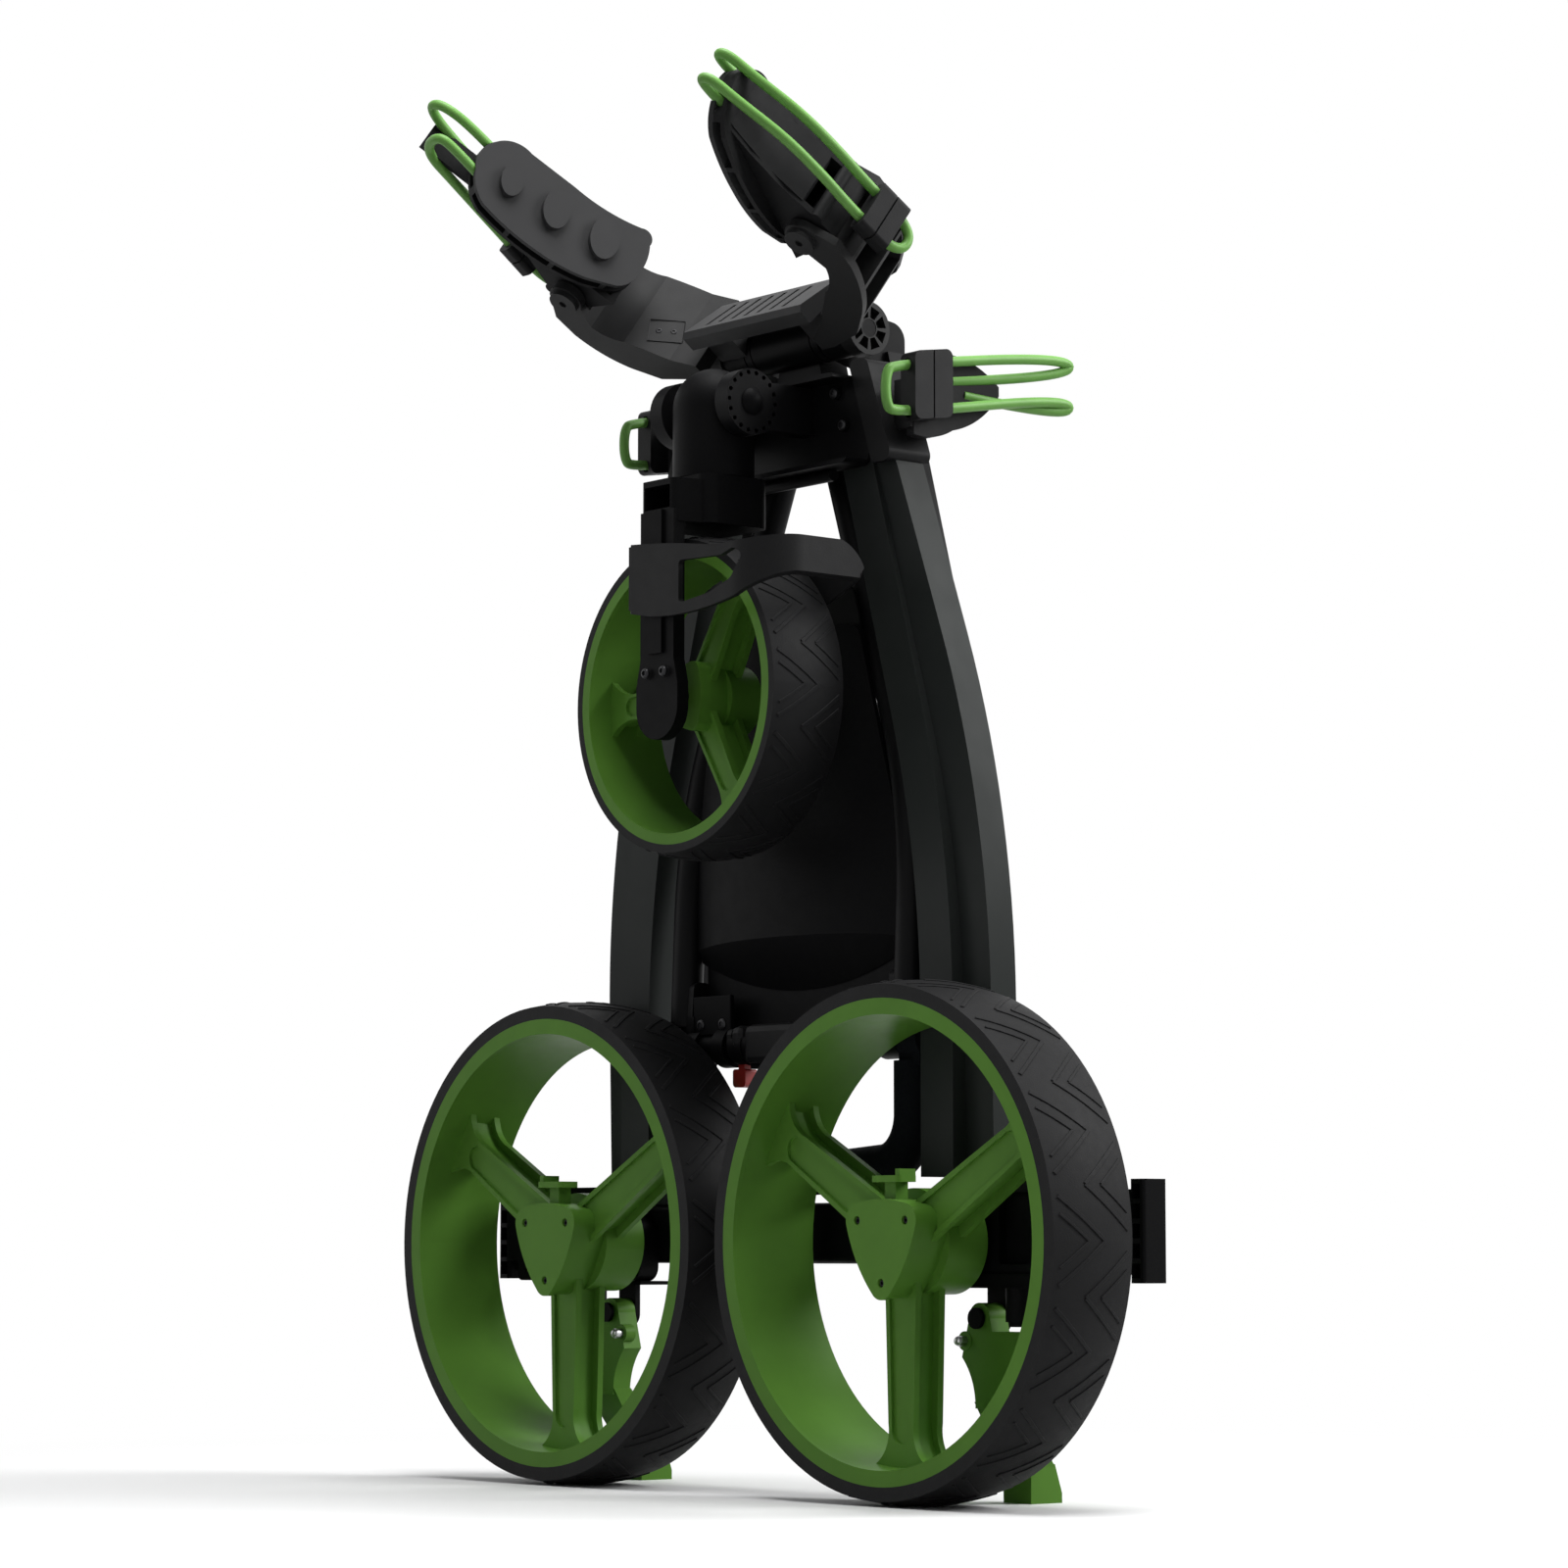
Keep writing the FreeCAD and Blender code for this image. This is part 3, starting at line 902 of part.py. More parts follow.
def cradle_arm():
    """Curved arm: two cheeks round the jaw's bolt, an inner skin and ribs between them."""
    x0 = BARREL_HALF + 0.3
    bolt_x, bolt_s = PAD_BOLT
    outline = [
        (x0, 14), (x0, 24), (78, 34), (104, 57, 92, 47), (121, 75, 115, 65), (116, bolt_s - 10),
        (bolt_x + 9, bolt_s + 8, bolt_x - 8.5, bolt_s + 8.5), (144, 90), (142, 72), (118, 34, 133, 52),
        (100, 20),
        (x0 + 12, 14)]
    low, high = CHEEK_W
    body = cradle_slab(outline, (-high, high))
    pocket_outline = [
        (x0 + 22, 8), (x0 + 22, 26), (107, 53, 96, 44), (125, 75, 119, 63), (125, bolt_s - 12),
        (190, bolt_s - 12), (190, 8)]
    pockets = cradle_slab(pocket_outline, (-low, low))
    ribs = []
    for start, end in (((96, 36), (140, 10)), ((110, 56), (160, 40)), ((118, 74), (160, 72))):
        length = math.hypot(end[0] - start[0], end[1] - start[1])
        ux, us = (end[0] - start[0]) / length, (end[1] - start[1]) / length
        t = 1.6
        ribs.append(cradle_slab([(start[0] - us * t, start[1] + ux * t), (end[0] - us * t, end[1] + ux * t),
                                 (end[0] + us * t, end[1] - ux * t), (start[0] + us * t, start[1] - ux * t)],
                                (-low, low)))
    body = cut(body, cut(pockets, *ribs))
    # gap between the cheeks for the jaw's lugs
    body = cut(body, cradle_slab([(40, 84), (200, 84), (200, 200), (40, 200)], (-low, low)))
    hub = rod(BARREL_RADIUS + 1.5, V(x0, BARREL_Y, BARREL_Z), X_DIR, 12)
    bridge = cradle_slab([(x0, 4), (x0, 24), (x0 + 12, 24), (x0 + 12, 4)], (-13, 13))
    body = fuse(body, hub, bridge)
    # star pockets in the barrel's end
    for i in range(8):
        a0, a1 = math.radians(45 * i + 6), math.radians(45 * i + 39)
        pocket = side_slab([
            (BARREL_Y + 7 * math.cos(a0), BARREL_Z + 7 * math.sin(a0)),
            (BARREL_Y + 14.5 * math.cos(a0), BARREL_Z + 14.5 * math.sin(a0)),
            (BARREL_Y + 14.5 * math.cos(a1), BARREL_Z + 14.5 * math.sin(a1)),
            (BARREL_Y + 7 * math.cos(a1), BARREL_Z + 7 * math.sin(a1))], (x0 + 6, x0 + 13))
        body = cut(body, pocket)
    bolt_point = cradle_point(bolt_x, bolt_s, -high - 2.0)
    shaft = rod(PAD_BOLT_RADIUS, bolt_point, W_DIR, 2 * high + 4)
    head = rod(PAD_BOLT_RADIUS + 5, cradle_point(bolt_x, bolt_s, -high - 4.0), W_DIR, 4)
    back = rod(PAD_BOLT_RADIUS + 3, cradle_point(bolt_x, bolt_s, high), W_DIR, 4)
    recess = rod(2.6, cradle_point(bolt_x, bolt_s, -high - 5.0), W_DIR, 3.2)
    below_collar = box((x0 + 4, 200), (0, COLLAR_Y[1] + 1.5), (600, COLLAR_TOP_Z + 1.2))
    return cut(fuse(body, shaft, head, back), recess, below_collar,
               rod(BARREL_PIN_RADIUS, V(x0 - 1, BARREL_Y, BARREL_Z), X_DIR, 14))


def cradle_point(x, s, w):
    return CRADLE_ORIGIN + X_DIR * x + S_DIR * s + W_DIR * w


LEAN = math.radians(PAD_LEAN)


def pad_point(t, n, w):
    """Point in the right-hand jaw's frame: t along the jaw, n towards the bag, w along the bag."""
    x = PAD_BOLT[0] + t * math.sin(LEAN) - n * math.cos(LEAN)
    s = PAD_BOLT[1] + t * math.cos(LEAN) + n * math.sin(LEAN)
    return cradle_point(x, s, w)


PAD_ORIGIN = pad_point(0, 0, 0)
T_DIR = (pad_point(1, 0, 0) - PAD_ORIGIN)
N_DIR = (pad_point(0, 1, 0) - PAD_ORIGIN)


def pad_slab(outline, w):
    """Outline in (t, n) extruded along the bag."""
    return slab(outline, PAD_ORIGIN + W_DIR * w[0], T_DIR, N_DIR, W_DIR * (w[1] - w[0]))


def jaw_outline():
    """Face outline in (t, w): rounded at the tip, widest in the middle, with a skewed lower corner."""
    return [
        (-19, -18), (-27, -2, -25, -11), (-23, 23, -27, 11), (-12, 30, -20, 30), (40, 23.5, 12, 24.5),
        (76, 23.5),
        (100, 14, 91, 22), (101, -12, 105, 1), (84, -30, 94, -23), (42, -34, 62, -33.5), (0, -27, 20, -32)]


def jaw_part(n, shrink=0.0):
    """Slice of the jaw between two distances n, following the face's outline."""
    middle = V(40, -4, 0)
    points = []
    for item in jaw_outline():
        pairs = [(item[0], item[1])] + ([(item[2], item[3])] if len(item) > 2 else [])
        moved = []
        for t, w in pairs:
            away = V(t, w, 0) - middle
            away.multiply(1 - shrink / away.Length)
            moved += [middle.x + away.x, middle.y + away.y]
        points.append(tuple(moved))
    return slab(points, PAD_ORIGIN + N_DIR * n[0], T_DIR, W_DIR, N_DIR * (n[1] - n[0]))


def jaw_oval(t, w, scale):
    """Raised oval pad on the face, its long axis across the jaw and turned a little."""
    turn = math.radians(OVAL_TURN)
    along = W_DIR * math.cos(turn) + T_DIR * math.sin(turn)
    across = T_DIR * math.cos(turn) - W_DIR * math.sin(turn)
    centre = PAD_ORIGIN + T_DIR * t + W_DIR * w + N_DIR * (PAD_N[1] - 1)
    ring = Part.Ellipse(centre + along * OVAL_HALF[0] * scale, centre + across * OVAL_HALF[1] * scale, centre)
    return Part.Face(Part.Wire([ring.toShape()])).extrude(N_DIR * (OVAL_RISE + 1))


def cradle_pad(side):
    """Jaw: rounded face with three raised ovals, ribbed edge, humped back between cheeks, and a roller."""
    n0, n1 = PAD_N
    half = PAD_HALF_W
    plate = jaw_part((n0, n1))
    # ribbed pocket all along the side
    groove = cut(jaw_part((n0 + PAD_SKIN, n1 - PAD_SKIN), -30), jaw_part((n0, n1), 9))
    ribs = [pad_slab([(t, n0), (t + 3.5, n0), (t + 3.5, n1), (t, n1)], (-60, 60)) for t in (-14, 22, 58, 92)]
    groove = cut(groove.common(pad_slab([(-40, n0), (130, n0), (130, n1), (-40, n1)], (-60, -6))), *ribs)
    plate = cut(plate, groove)
    ovals = [jaw_oval(*spot) for spot in JAW_OVALS]
    cheek_outline = [
        (-26, n0 + 1), (-13, -6), (1, -17.5, -9, -16), (13, -12), (36, 2), (66, 14), (88, n0 + 1)]
    cheeks = [pad_slab(cheek_outline, w) for w in ((-half, -half + 4.5), (half - 4.5, half))]
    hump = pad_slab([
        (92, n0 + 1), (66, 13, 80, 17.5), (38, 1.5, 52, 8.5), (24, -6), (20, -4), (34, 5), (60, 16.5),
        (62, n0 + 1)],
        (-half + 3, half - 3))
    # the cheeks' lower edge is closed by a web, so the lugs are a box round the bolt
    inside = [(-22, n0 + 2), (-10, -4.5), (1, -14, -7, -12.5), (12, -8), (60, 12), (60, n0 + 2)]
    web = cut(pad_slab(cheek_outline, (-half + 4, half - 4)), pad_slab(inside, (-half, half)))
    web = web.common(pad_slab([(-30, -25), (12, -25), (12, n0), (-30, n0)], (-half, half)))
    roller = rod(ROLLER_RADIUS, pad_point(*ROLLER_SPOT, -half), W_DIR, 2 * half)
    body = fuse(plate, *ovals, *cheeks, web, hump, roller)
    if side == "left":
        t0, t1, low, high, reach = TONGUE
        neck = pad_slab([(t0 - 12, n0 + 2), (t0 - 8, n0 + 2), (t0 + 4, high), (t0 + 4, low), (t0, low)],
                        (-reach, reach))
        body = fuse(body, neck, pad_slab([(t0, low), (t1, low), (t1, high), (t0, high)], (-reach, reach)))
    body = cut(body, upper_strap(side, STRAP_RADIUS + STRAP_GAP)[0])
    return cut(body, rod(PAD_BOLT_RADIUS + RUNNING_GAP, pad_point(0, 0, -half - 2), W_DIR, 2 * half + 4))


def strap_points(side):
    """Route points: out of the jaw's tip, round it, back under the jaw, looped, and the same way back."""
    front, rear = STRAP_ROUTES[side]
    points = [pad_point(t, n, -STRAP_PITCH) for t, n in front]
    return points + [pad_point(t, n, STRAP_PITCH) for t, n in reversed(rear)]


def upper_strap(side, radius):
    """Closed elastic strap with both its ends held in the jaw's tip."""
    points = strap_points(side)
    radii = bend_radii(points)
    return pipe(route(points, radii), radius), radii


def upper_slider(side):
    """Two-part slider block clamped on the strap's two runs."""
    (t0, n0), (t1, n1) = STRAP_ROUTES[side][0][-2:]
    t = SLIDER_T[side]
    direction = pad_point(t0, n0, 0) - pad_point(t1, n1, 0)
    direction.normalize()
    across = W_DIR.cross(direction)
    across.normalize()
    centre = pad_point(t, n0 + (n1 - n0) / (t1 - t0) * (t - t0), 0)
    long, thick, deep = SLIDER_HALF

    def block_of(shrink, depth):
        a, b = long - shrink, thick - shrink
        return slab(rounded([(-a, -b), (a, -b), (a, b), (-a, b)], 4 - shrink), centre - direction * depth,
                    W_DIR,
                    across, direction * 2 * depth)
    seam = cut(block_of(-1, 0.6), block_of(1.2, 2))
    block = cut(block_of(0, deep), seam)
    for w in (-STRAP_PITCH, STRAP_PITCH):
        block = cut(block, rod(STRAP_RADIUS + STRAP_GAP, centre - direction * 20 + W_DIR * w, direction, 40))
    return block


# ---------------------------------------------------------------- lower bag arm and its strap
LOWER_HOLES = ((124.0, 104.0, 709.0), (124.5, 114.0, 701.0))
LOWER_FOLD_UPPER = ((134.0, 198.0, 721.5), (136.5, 198.0, 735.0))     # behind the cart: inner and outer point
LOWER_FOLD_LOWER = ((133.0, 198.0, 694.5), (136.5, 198.0, 708.0))
LOWER_LOOP = ((134.0, 46.0, 712.0), (134.0, 40.0, 705.0), (134.0, 40.0, 687.0), (134.0, 46.0, 680.0))


def lower_strap(radius):
    """Closed elastic strap: ends in the arm's two holes, folded back behind the cart, looped in front."""
    points = [V(*p) for p in (LOWER_HOLES[0], *LOWER_FOLD_UPPER, *LOWER_LOOP, *LOWER_FOLD_LOWER[::-1],
                              LOWER_HOLES[1])]
    radii = bend_radii(points)
    return pipe(route(points, radii), radius), radii


def lower_slider():
    """Slider block on the lower strap's two outer runs, cut to both runs' slopes."""
    block = box((128.0, 142.0), (58.0, 90.0), (676.0, 728.0))
    ends = side_slab(rounded([(58, 677, 5), (90, 682, 5), (90, 726, 5), (58, 721, 5)], 5), (120, 150))
    block = block.common(ends)
    section = slab(rounded([(128, 670, 4), (142, 670, 4), (142, 735, 4), (128, 735, 4)], 4), V(0, 50, 0),
                   X_DIR, Z_DIR, V(0, 50, 0))
    block = block.common(section)
    seam = box((120, 150), (73.4, 74.6), (660, 740)).cut(box((129.4, 140.6), (72, 76), (684, 716)))
    return cut(block, seam, lower_strap(STRAP_RADIUS + STRAP_GAP)[0])


def lower_bag_arm():
    """Curved arm on the collar's outer side, rounded below, with two holes for the strap's ends."""
    outline = [
        (117.5, 72), (121.0, 140, 117.0, 104), (129.5, 141), (124.5, 72, 126.0, 104)]
    arm = slab(outline, V(0, 0, 640), X_DIR, Y_DIR, V(0, 0, 120))
    profile = [
        (70, 672), (104, 677, 87, 671), (141, 703, 126, 687), (141, 709), (112, 725, 127, 719),
        (104, 726), (90, 716), (70, 713)]
    limit = side_slab(profile, (100, 150))
    rim_inside = side_slab([
        (74, 677), (103, 682, 88, 676), (135, 704, 122, 691), (111, 719, 123, 713), (105, 720),
        (92, 710), (74, 708)], (100, 119.0))
    arm = arm.common(limit).cut(rim_inside)
    foot = slab([(108, 70), (124, 70), (124, 92), (108, 92)], V(0, 0, 676), X_DIR, Y_DIR, V(0, 0, 32))
    foot = foot.cut(collar_solid(0.0)).cut(blade_grown(0.4))
    arm = fuse(arm, foot)
    return cut(arm, lower_strap(STRAP_RADIUS + STRAP_GAP)[0])


# ---------------------------------------------------------------- handle
def tube_points():
    def y_at(z):
        return TUBE_FOOT_Y + TUBE_BACK_LEAN * (z - HANDLE_PIVOT_Z)
    foot = HANDLE_PIVOT_Z + KNUCKLE_RADIUS + 1.5
    top = 728.0
    return [V(TUBE_FOOT_X, y_at(foot), foot), V(TUBE_FOOT_X, y_at(TUBE_BEND_Z), TUBE_BEND_Z),
            V(TUBE_FOOT_X - TUBE_LEAN * (top - TUBE_BEND_Z), y_at(top), top)]


def handle_frame():
    """Two bent tubes that meet in a head on the barrel, crossbar knuckles and pivot pins at their feet."""
    path = route(tube_points(), [TUBE_BEND_RADIUS])
    tube = pipe(path, TUBE_RADIUS).cut(pipe(path, TUBE_RADIUS - TUBE_WALL))
    axis = V(0, HANDLE_PIVOT_Y, HANDLE_PIVOT_Z)
    knuckle = rod(KNUCKLE_RADIUS, axis + V(90, 0, 0), X_DIR, 20)
    strap = side_slab(rounded([
        (HANDLE_PIVOT_Y - 9, HANDLE_PIVOT_Z, 0), (HANDLE_PIVOT_Y + 9, HANDLE_PIVOT_Z, 0),
        (HANDLE_PIVOT_Y + 8, HANDLE_PIVOT_Z + 44, 5), (HANDLE_PIVOT_Y - 6, HANDLE_PIVOT_Z + 44, 5)],
                              5), (98.5, 103.5))
    web = box((95, 110), (HANDLE_PIVOT_Y - 8, HANDLE_PIVOT_Y + 8), (HANDLE_PIVOT_Z + 8, HANDLE_PIVOT_Z + 21))
    pin = rod(HANDLE_PIN_RADIUS, axis + V(100, 0, 0), X_DIR, 28)
    side = fuse(tube, knuckle, strap, web, pin)
    sleeve_half = KNUCKLE_SPLIT - 1
    sleeve = rod(BARREL_RADIUS, V(-sleeve_half, BARREL_Y, BARREL_Z), X_DIR, 2 * sleeve_half)
    top_y = tube_points()[2].y
    block = front_slab(rounded([(-16, BARREL_Z, 0), (-33, 688, 5), (33, 688, 5), (16, BARREL_Z, 0)], 4),
                       (top_y - 13, top_y + 11))
    block = block.common(side_slab([(60, 680), (120, 680), (top_y + 11, 735),
                                    (BARREL_Y, BARREL_Z + BARREL_RADIUS),
                                    (60, BARREL_Z)], (-60, 60)))
    body = fuse(side, mirrored(side), block, sleeve)
    return cut(body, rod(BARREL_PIN_RADIUS + RUNNING_GAP, V(-40, BARREL_Y, BARREL_Z), X_DIR, 80))


def console():
    """Shell between the tubes, bulging forwards, with a round lower edge that turns under."""
    wall = 3.0
    y = (CONSOLE_FRONT_Y, CONSOLE_FRONT_Y + CONSOLE_DEPTH)

    def outline(shrink):
        side, middle, top = (half - shrink for half in CONSOLE_HALF)
        high, low = CONSOLE_TOP_Z - shrink, CONSOLE_LOW_Z - 20
        return rounded([
            (side, low, 0), (side, CONSOLE_SHOULDER_Z, 90), (middle, CONSOLE_MIDDLE_Z, 200), (top, high, 12),
            (-top, high, 12), (-middle, CONSOLE_MIDDLE_Z, 200), (-side, CONSOLE_SHOULDER_Z, 90),
            (-side, low, 0)], 6)

    def under(shrink):
        """Cone about the depth axis: its rim is the round lower edge, its slope the turned-under band."""
        outer = CONSOLE_EDGE_RADIUS - shrink
        centre_z = CONSOLE_LOW_Z + CONSOLE_EDGE_RADIUS
        return Part.makeCone(outer - CONSOLE_TURN, outer, CONSOLE_DEPTH, V(0, y[0], centre_z), Y_DIR)
    bulge = rod(CONSOLE_BULGE, V(0, y[0] + CONSOLE_BULGE, 200), Z_DIR, 400)
    inner_bulge = rod(CONSOLE_BULGE, V(0, y[0] + CONSOLE_BULGE + wall, 200), Z_DIR, 400)
    shell = front_slab(outline(0), y).common(bulge).common(under(0))
    hollow = front_slab(outline(wall), (y[0], y[1] + 1)).common(inner_bulge)
    inner_under = under(wall)
    inner_under.translate(V(0, 0.1, 0))
    body = shell.cut(hollow.common(inner_under))
    # key channels that seat the shell on the tubes
    for side in (1, -1):
        sleeve = pipe(route(tube_points(), [TUBE_BEND_RADIUS]), TUBE_RADIUS + 0.3)
        body = body.cut(sleeve if side > 0 else mirrored(sleeve))
    return body


def crossbar():
    """Cross tube between the handle's knuckles: two collars, a lower flange and a slot for the latch tab."""
    axis = V(0, HANDLE_PIVOT_Y, HANDLE_PIVOT_Z)
    half = 89.7
    bar = rod(CROSSBAR_RADIUS - 2.5, axis + V(-half, 0, 0), X_DIR, 2 * half)
    core = rod(CROSSBAR_RADIUS, axis + V(-56, 0, 0), X_DIR, 112)
    collars = [rod(CROSSBAR_RADIUS + 1.2, axis + V(x, 0, 0), X_DIR, 12) for x in (-72, 60)]
    flange = box((-36, 36), (HANDLE_PIVOT_Y - 9, HANDLE_PIVOT_Y + 6),
                 (HANDLE_PIVOT_Z - 15.5, HANDLE_PIVOT_Z - 11))
    rib = [rod(CROSSBAR_RADIUS + 0.8, axis + V(x, 0, 0), X_DIR, 2.4) for x in (-44, -30, 28, 42)]
    body = fuse(bar, core, *collars, flange, *rib)
    slot = box((-56, -42), (HANDLE_PIVOT_Y - 3.5, HANDLE_PIVOT_Y + 3.5),
               (HANDLE_PIVOT_Z - 20, HANDLE_PIVOT_Z - 5))
    return cut(body, slot)


def latch_tab():
    z = HANDLE_PIVOT_Z
    neck = box((-55.5, -49.5), (HANDLE_PIVOT_Y - 3, HANDLE_PIVOT_Y + 3), (z - 16, z - 5.5))
    body = slab(rounded([(-59, z - 27, 3), (-46, z - 27, 3), (-46, z - 15, 2), (-59, z - 15, 2)], 2),
                V(0, HANDLE_PIVOT_Y - 5, 0), X_DIR, Z_DIR, V(0, 10, 0))
    return fuse(neck, body)


def handle_grip():
    """Foam-covered U grip hanging from the handle's pivots."""
    y = HANDLE_PIVOT_Y
    leg_top = HANDLE_PIVOT_Z - KNUCKLE_RADIUS - 1.5
    corner_z = GRIP_LOW_Z + GRIP_CORNER_RISE
    points = [V(GRIP_LEG_X, y, leg_top), V(GRIP_LEG_X, y, corner_z), V(0, y, GRIP_LOW_Z),
              V(-GRIP_LEG_X, y, corner_z), V(-GRIP_LEG_X, y, leg_top)]
    loop = pipe(route(points, [GRIP_CORNER, 420.0, GRIP_CORNER]), GRIP_RADIUS)
    parts = [loop]
    for side in (1, -1):
        knuckle = rod(KNUCKLE_RADIUS, V(110.8, HANDLE_PIVOT_Y, HANDLE_PIVOT_Z), X_DIR, 19.7)
        neck = box((110.8, 130.5), (HANDLE_PIVOT_Y - 9, HANDLE_PIVOT_Y + 9), (leg_top - 3, HANDLE_PIVOT_Z))
        bore = rod(HANDLE_PIN_RADIUS + RUNNING_GAP, V(105, HANDLE_PIVOT_Y, HANDLE_PIVOT_Z), X_DIR, 24)
        end = cut(fuse(knuckle, neck), bore)
        parts.append(end if side > 0 else mirrored(end))
    return fuse(*parts)


# ---------------------------------------------------------------- build
os.makedirs("parts", exist_ok=True)

for name, shape in rear_wheel().items():
    export_pair(name, shape)
for name, shape in front_wheel().items():
    export(name, shape)

export_pair("blade", blade())
export("axle_beam", axle_beam())
export_pair("arm_bracket", arm_hinge_bracket())
export_pair("wheel_arm", wheel_arm())
export_pair("arm_end_cap", arm_end_cap())
lever, stud = stand_lever()
export_pair("stand_lever", lever)
export_pair("lever_stud", stud)
export("top_plate", top_plate())
export_pair("collar", collar())

export("fork_head", fork_head())
export("fork", fork())
export("tracking_knob", tracking_knob())
export("mudguard", mudguard())

export_pair("upright", upright())
export("barrel_pin", barrel_pin())
export("cradle_base", cradle_base())
export_pair("cradle_arm", cradle_arm())
export("cradle_jaw_right", cradle_pad("right"))
export("cradle_jaw_left", mirrored(cradle_pad("left")))
for side in ("right", "left"):
    strap, strap_radii = upper_strap(side, STRAP_RADIUS)
    slider = upper_slider(side)
    export("strap_upper_" + side, strap if side == "right" else mirrored(strap))
    export("slider_upper_" + side, slider if side == "right" else mirrored(slider))
    print("strap_upper_%s bend radii mm:" % side, [round(r, 1) for r in strap_radii])
export_pair("lower_bag_arm", lower_bag_arm())
strap, strap_radii = lower_strap(STRAP_RADIUS)
export_pair("strap_lower", strap)
export_pair("slider_lower", lower_slider())
print("strap_lower bend radii mm:", [round(r, 1) for r in strap_radii])

export("handle_frame", handle_frame())
export("console", console())
export("crossbar", crossbar())
export("latch_tab", latch_tab())
export("handle_grip", handle_grip())
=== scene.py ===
# %% [markdown]
# # Folded golf push cart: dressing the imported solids
# The cart stands folded on its two rear wheels and its stand levers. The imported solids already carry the
# working shapes, so this lesson adds what solids are poor at: finishes, cord, screw heads, tread and trim.

# %% Load the fixed frame
import json
import math

import bmesh
import bpy
from mathutils import Matrix, Vector


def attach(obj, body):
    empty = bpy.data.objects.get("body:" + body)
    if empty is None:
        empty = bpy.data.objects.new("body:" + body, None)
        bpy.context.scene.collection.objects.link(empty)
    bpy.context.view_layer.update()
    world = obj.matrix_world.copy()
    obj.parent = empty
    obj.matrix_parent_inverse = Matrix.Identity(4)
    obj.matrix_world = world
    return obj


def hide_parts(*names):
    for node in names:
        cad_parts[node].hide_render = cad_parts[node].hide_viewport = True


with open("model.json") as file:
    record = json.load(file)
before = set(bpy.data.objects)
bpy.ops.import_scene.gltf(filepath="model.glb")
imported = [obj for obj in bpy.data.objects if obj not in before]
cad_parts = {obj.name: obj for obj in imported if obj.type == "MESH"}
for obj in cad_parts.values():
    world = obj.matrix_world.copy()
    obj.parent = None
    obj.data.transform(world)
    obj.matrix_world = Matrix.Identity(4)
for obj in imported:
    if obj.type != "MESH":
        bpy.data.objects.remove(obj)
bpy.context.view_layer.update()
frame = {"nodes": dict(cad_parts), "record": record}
nodes = frame["nodes"]
print("solids loaded:", len(nodes))

# %% [markdown]
# ## Camera
# A long lens low in front of the right-hand wheel gives the catalogue view. Places on the cart are counted
# in millimetres from the wheels' open face, and one function turns them into the frame's metres.

# %% Camera
MM = 1000                                 # millimetres in a metre
PACK_MIDDLE = 0.0134                      # the solids' origin behind the wheels' open face, m
CAMERA_SPOT = (2289.6, -1849.3, 155.1)    # mm
CAMERA_TILT, CAMERA_TURN = 95.77, 50.05   # degrees


def place(x, y, z):
    """A point in metres from millimetres counted from the wheels' open face."""
    return Vector((x / MM, y / MM - PACK_MIDDLE, z / MM))


camera_data = bpy.data.cameras.new("catalogue_view")
camera_data.lens = 105.75
camera_data.sensor_width = 36.0
camera = bpy.data.objects.new("catalogue_view", camera_data)
camera.location = place(*CAMERA_SPOT)
camera.rotation_euler = (math.radians(CAMERA_TILT), 0, math.radians(CAMERA_TURN))
bpy.context.scene.collection.objects.link(camera)
bpy.context.scene.camera = camera
bpy.context.scene.view_settings.view_transform = "Standard"
print("camera at", tuple(round(v, 3) for v in camera.location))

# %% [markdown]
# ## Lamps
# Two large lamps do the work. One hangs overhead, and one stands behind the cart on its right, so the rims
# and the tyres' right sides catch it and the black faces towards the lens stay deep. A weak one opens the
# left side.


# %% Lamps
def soft_lamp(name, where, towards, size, watts):
    """Rectangular lamp at one point (m) that shines towards another."""
    lamp = bpy.data.lights.new(name, "AREA")
    lamp.shape = "RECTANGLE"
    lamp.size, lamp.size_y = size
    lamp.energy = watts
    holder = bpy.data.objects.new(name, lamp)
    holder.location = where
    holder.rotation_euler = (Vector(towards) - Vector(where)).to_track_quat("-Z", "Y").to_euler()
    bpy.context.scene.collection.objects.link(holder)
    return holder


lamps = [
    soft_lamp("key_lamp", where=(1.5, 1.75, 1.7), towards=(0, 0, 0.45), size=(1.0, 1.6), watts=56),
    soft_lamp("side_lamp", where=(-1.9, -1.6, 1.2), towards=(0, 0, 0.5), size=(0.8, 1.4), watts=4),
    soft_lamp("top_lamp", where=(0.35, -0.05, 2.5), towards=(0, 0, 0.4), size=(1.5, 1.5), watts=62),
]
print("lamps:", [lamp.name for lamp in lamps])

# %% [markdown]
# ## Room
# The camera and the reflections see a white room. To every other ray the room is dim, so that the lamps and
# not the walls shape the cart.

# %% Room
ROOM_TINT = (0.96, 0.98, 1.0, 1)
ROOM_GLOW = 0.15                          # strength of the light that the room throws onto the cart
WHITE = (1, 1, 1, 1)


def any_ray(tree, *kinds):
    """1 for the named kinds of ray and 0 for the rest."""
    path = tree.nodes.new("ShaderNodeLightPath")
    total = path.outputs[kinds[0]]
    for kind in kinds[1:]:
        either = tree.nodes.new("ShaderNodeMath")
        either.operation = "MAXIMUM"
        tree.links.new(total, either.inputs[0])
        tree.links.new(path.outputs[kind], either.inputs[1])
        total = either.outputs[0]
    return total


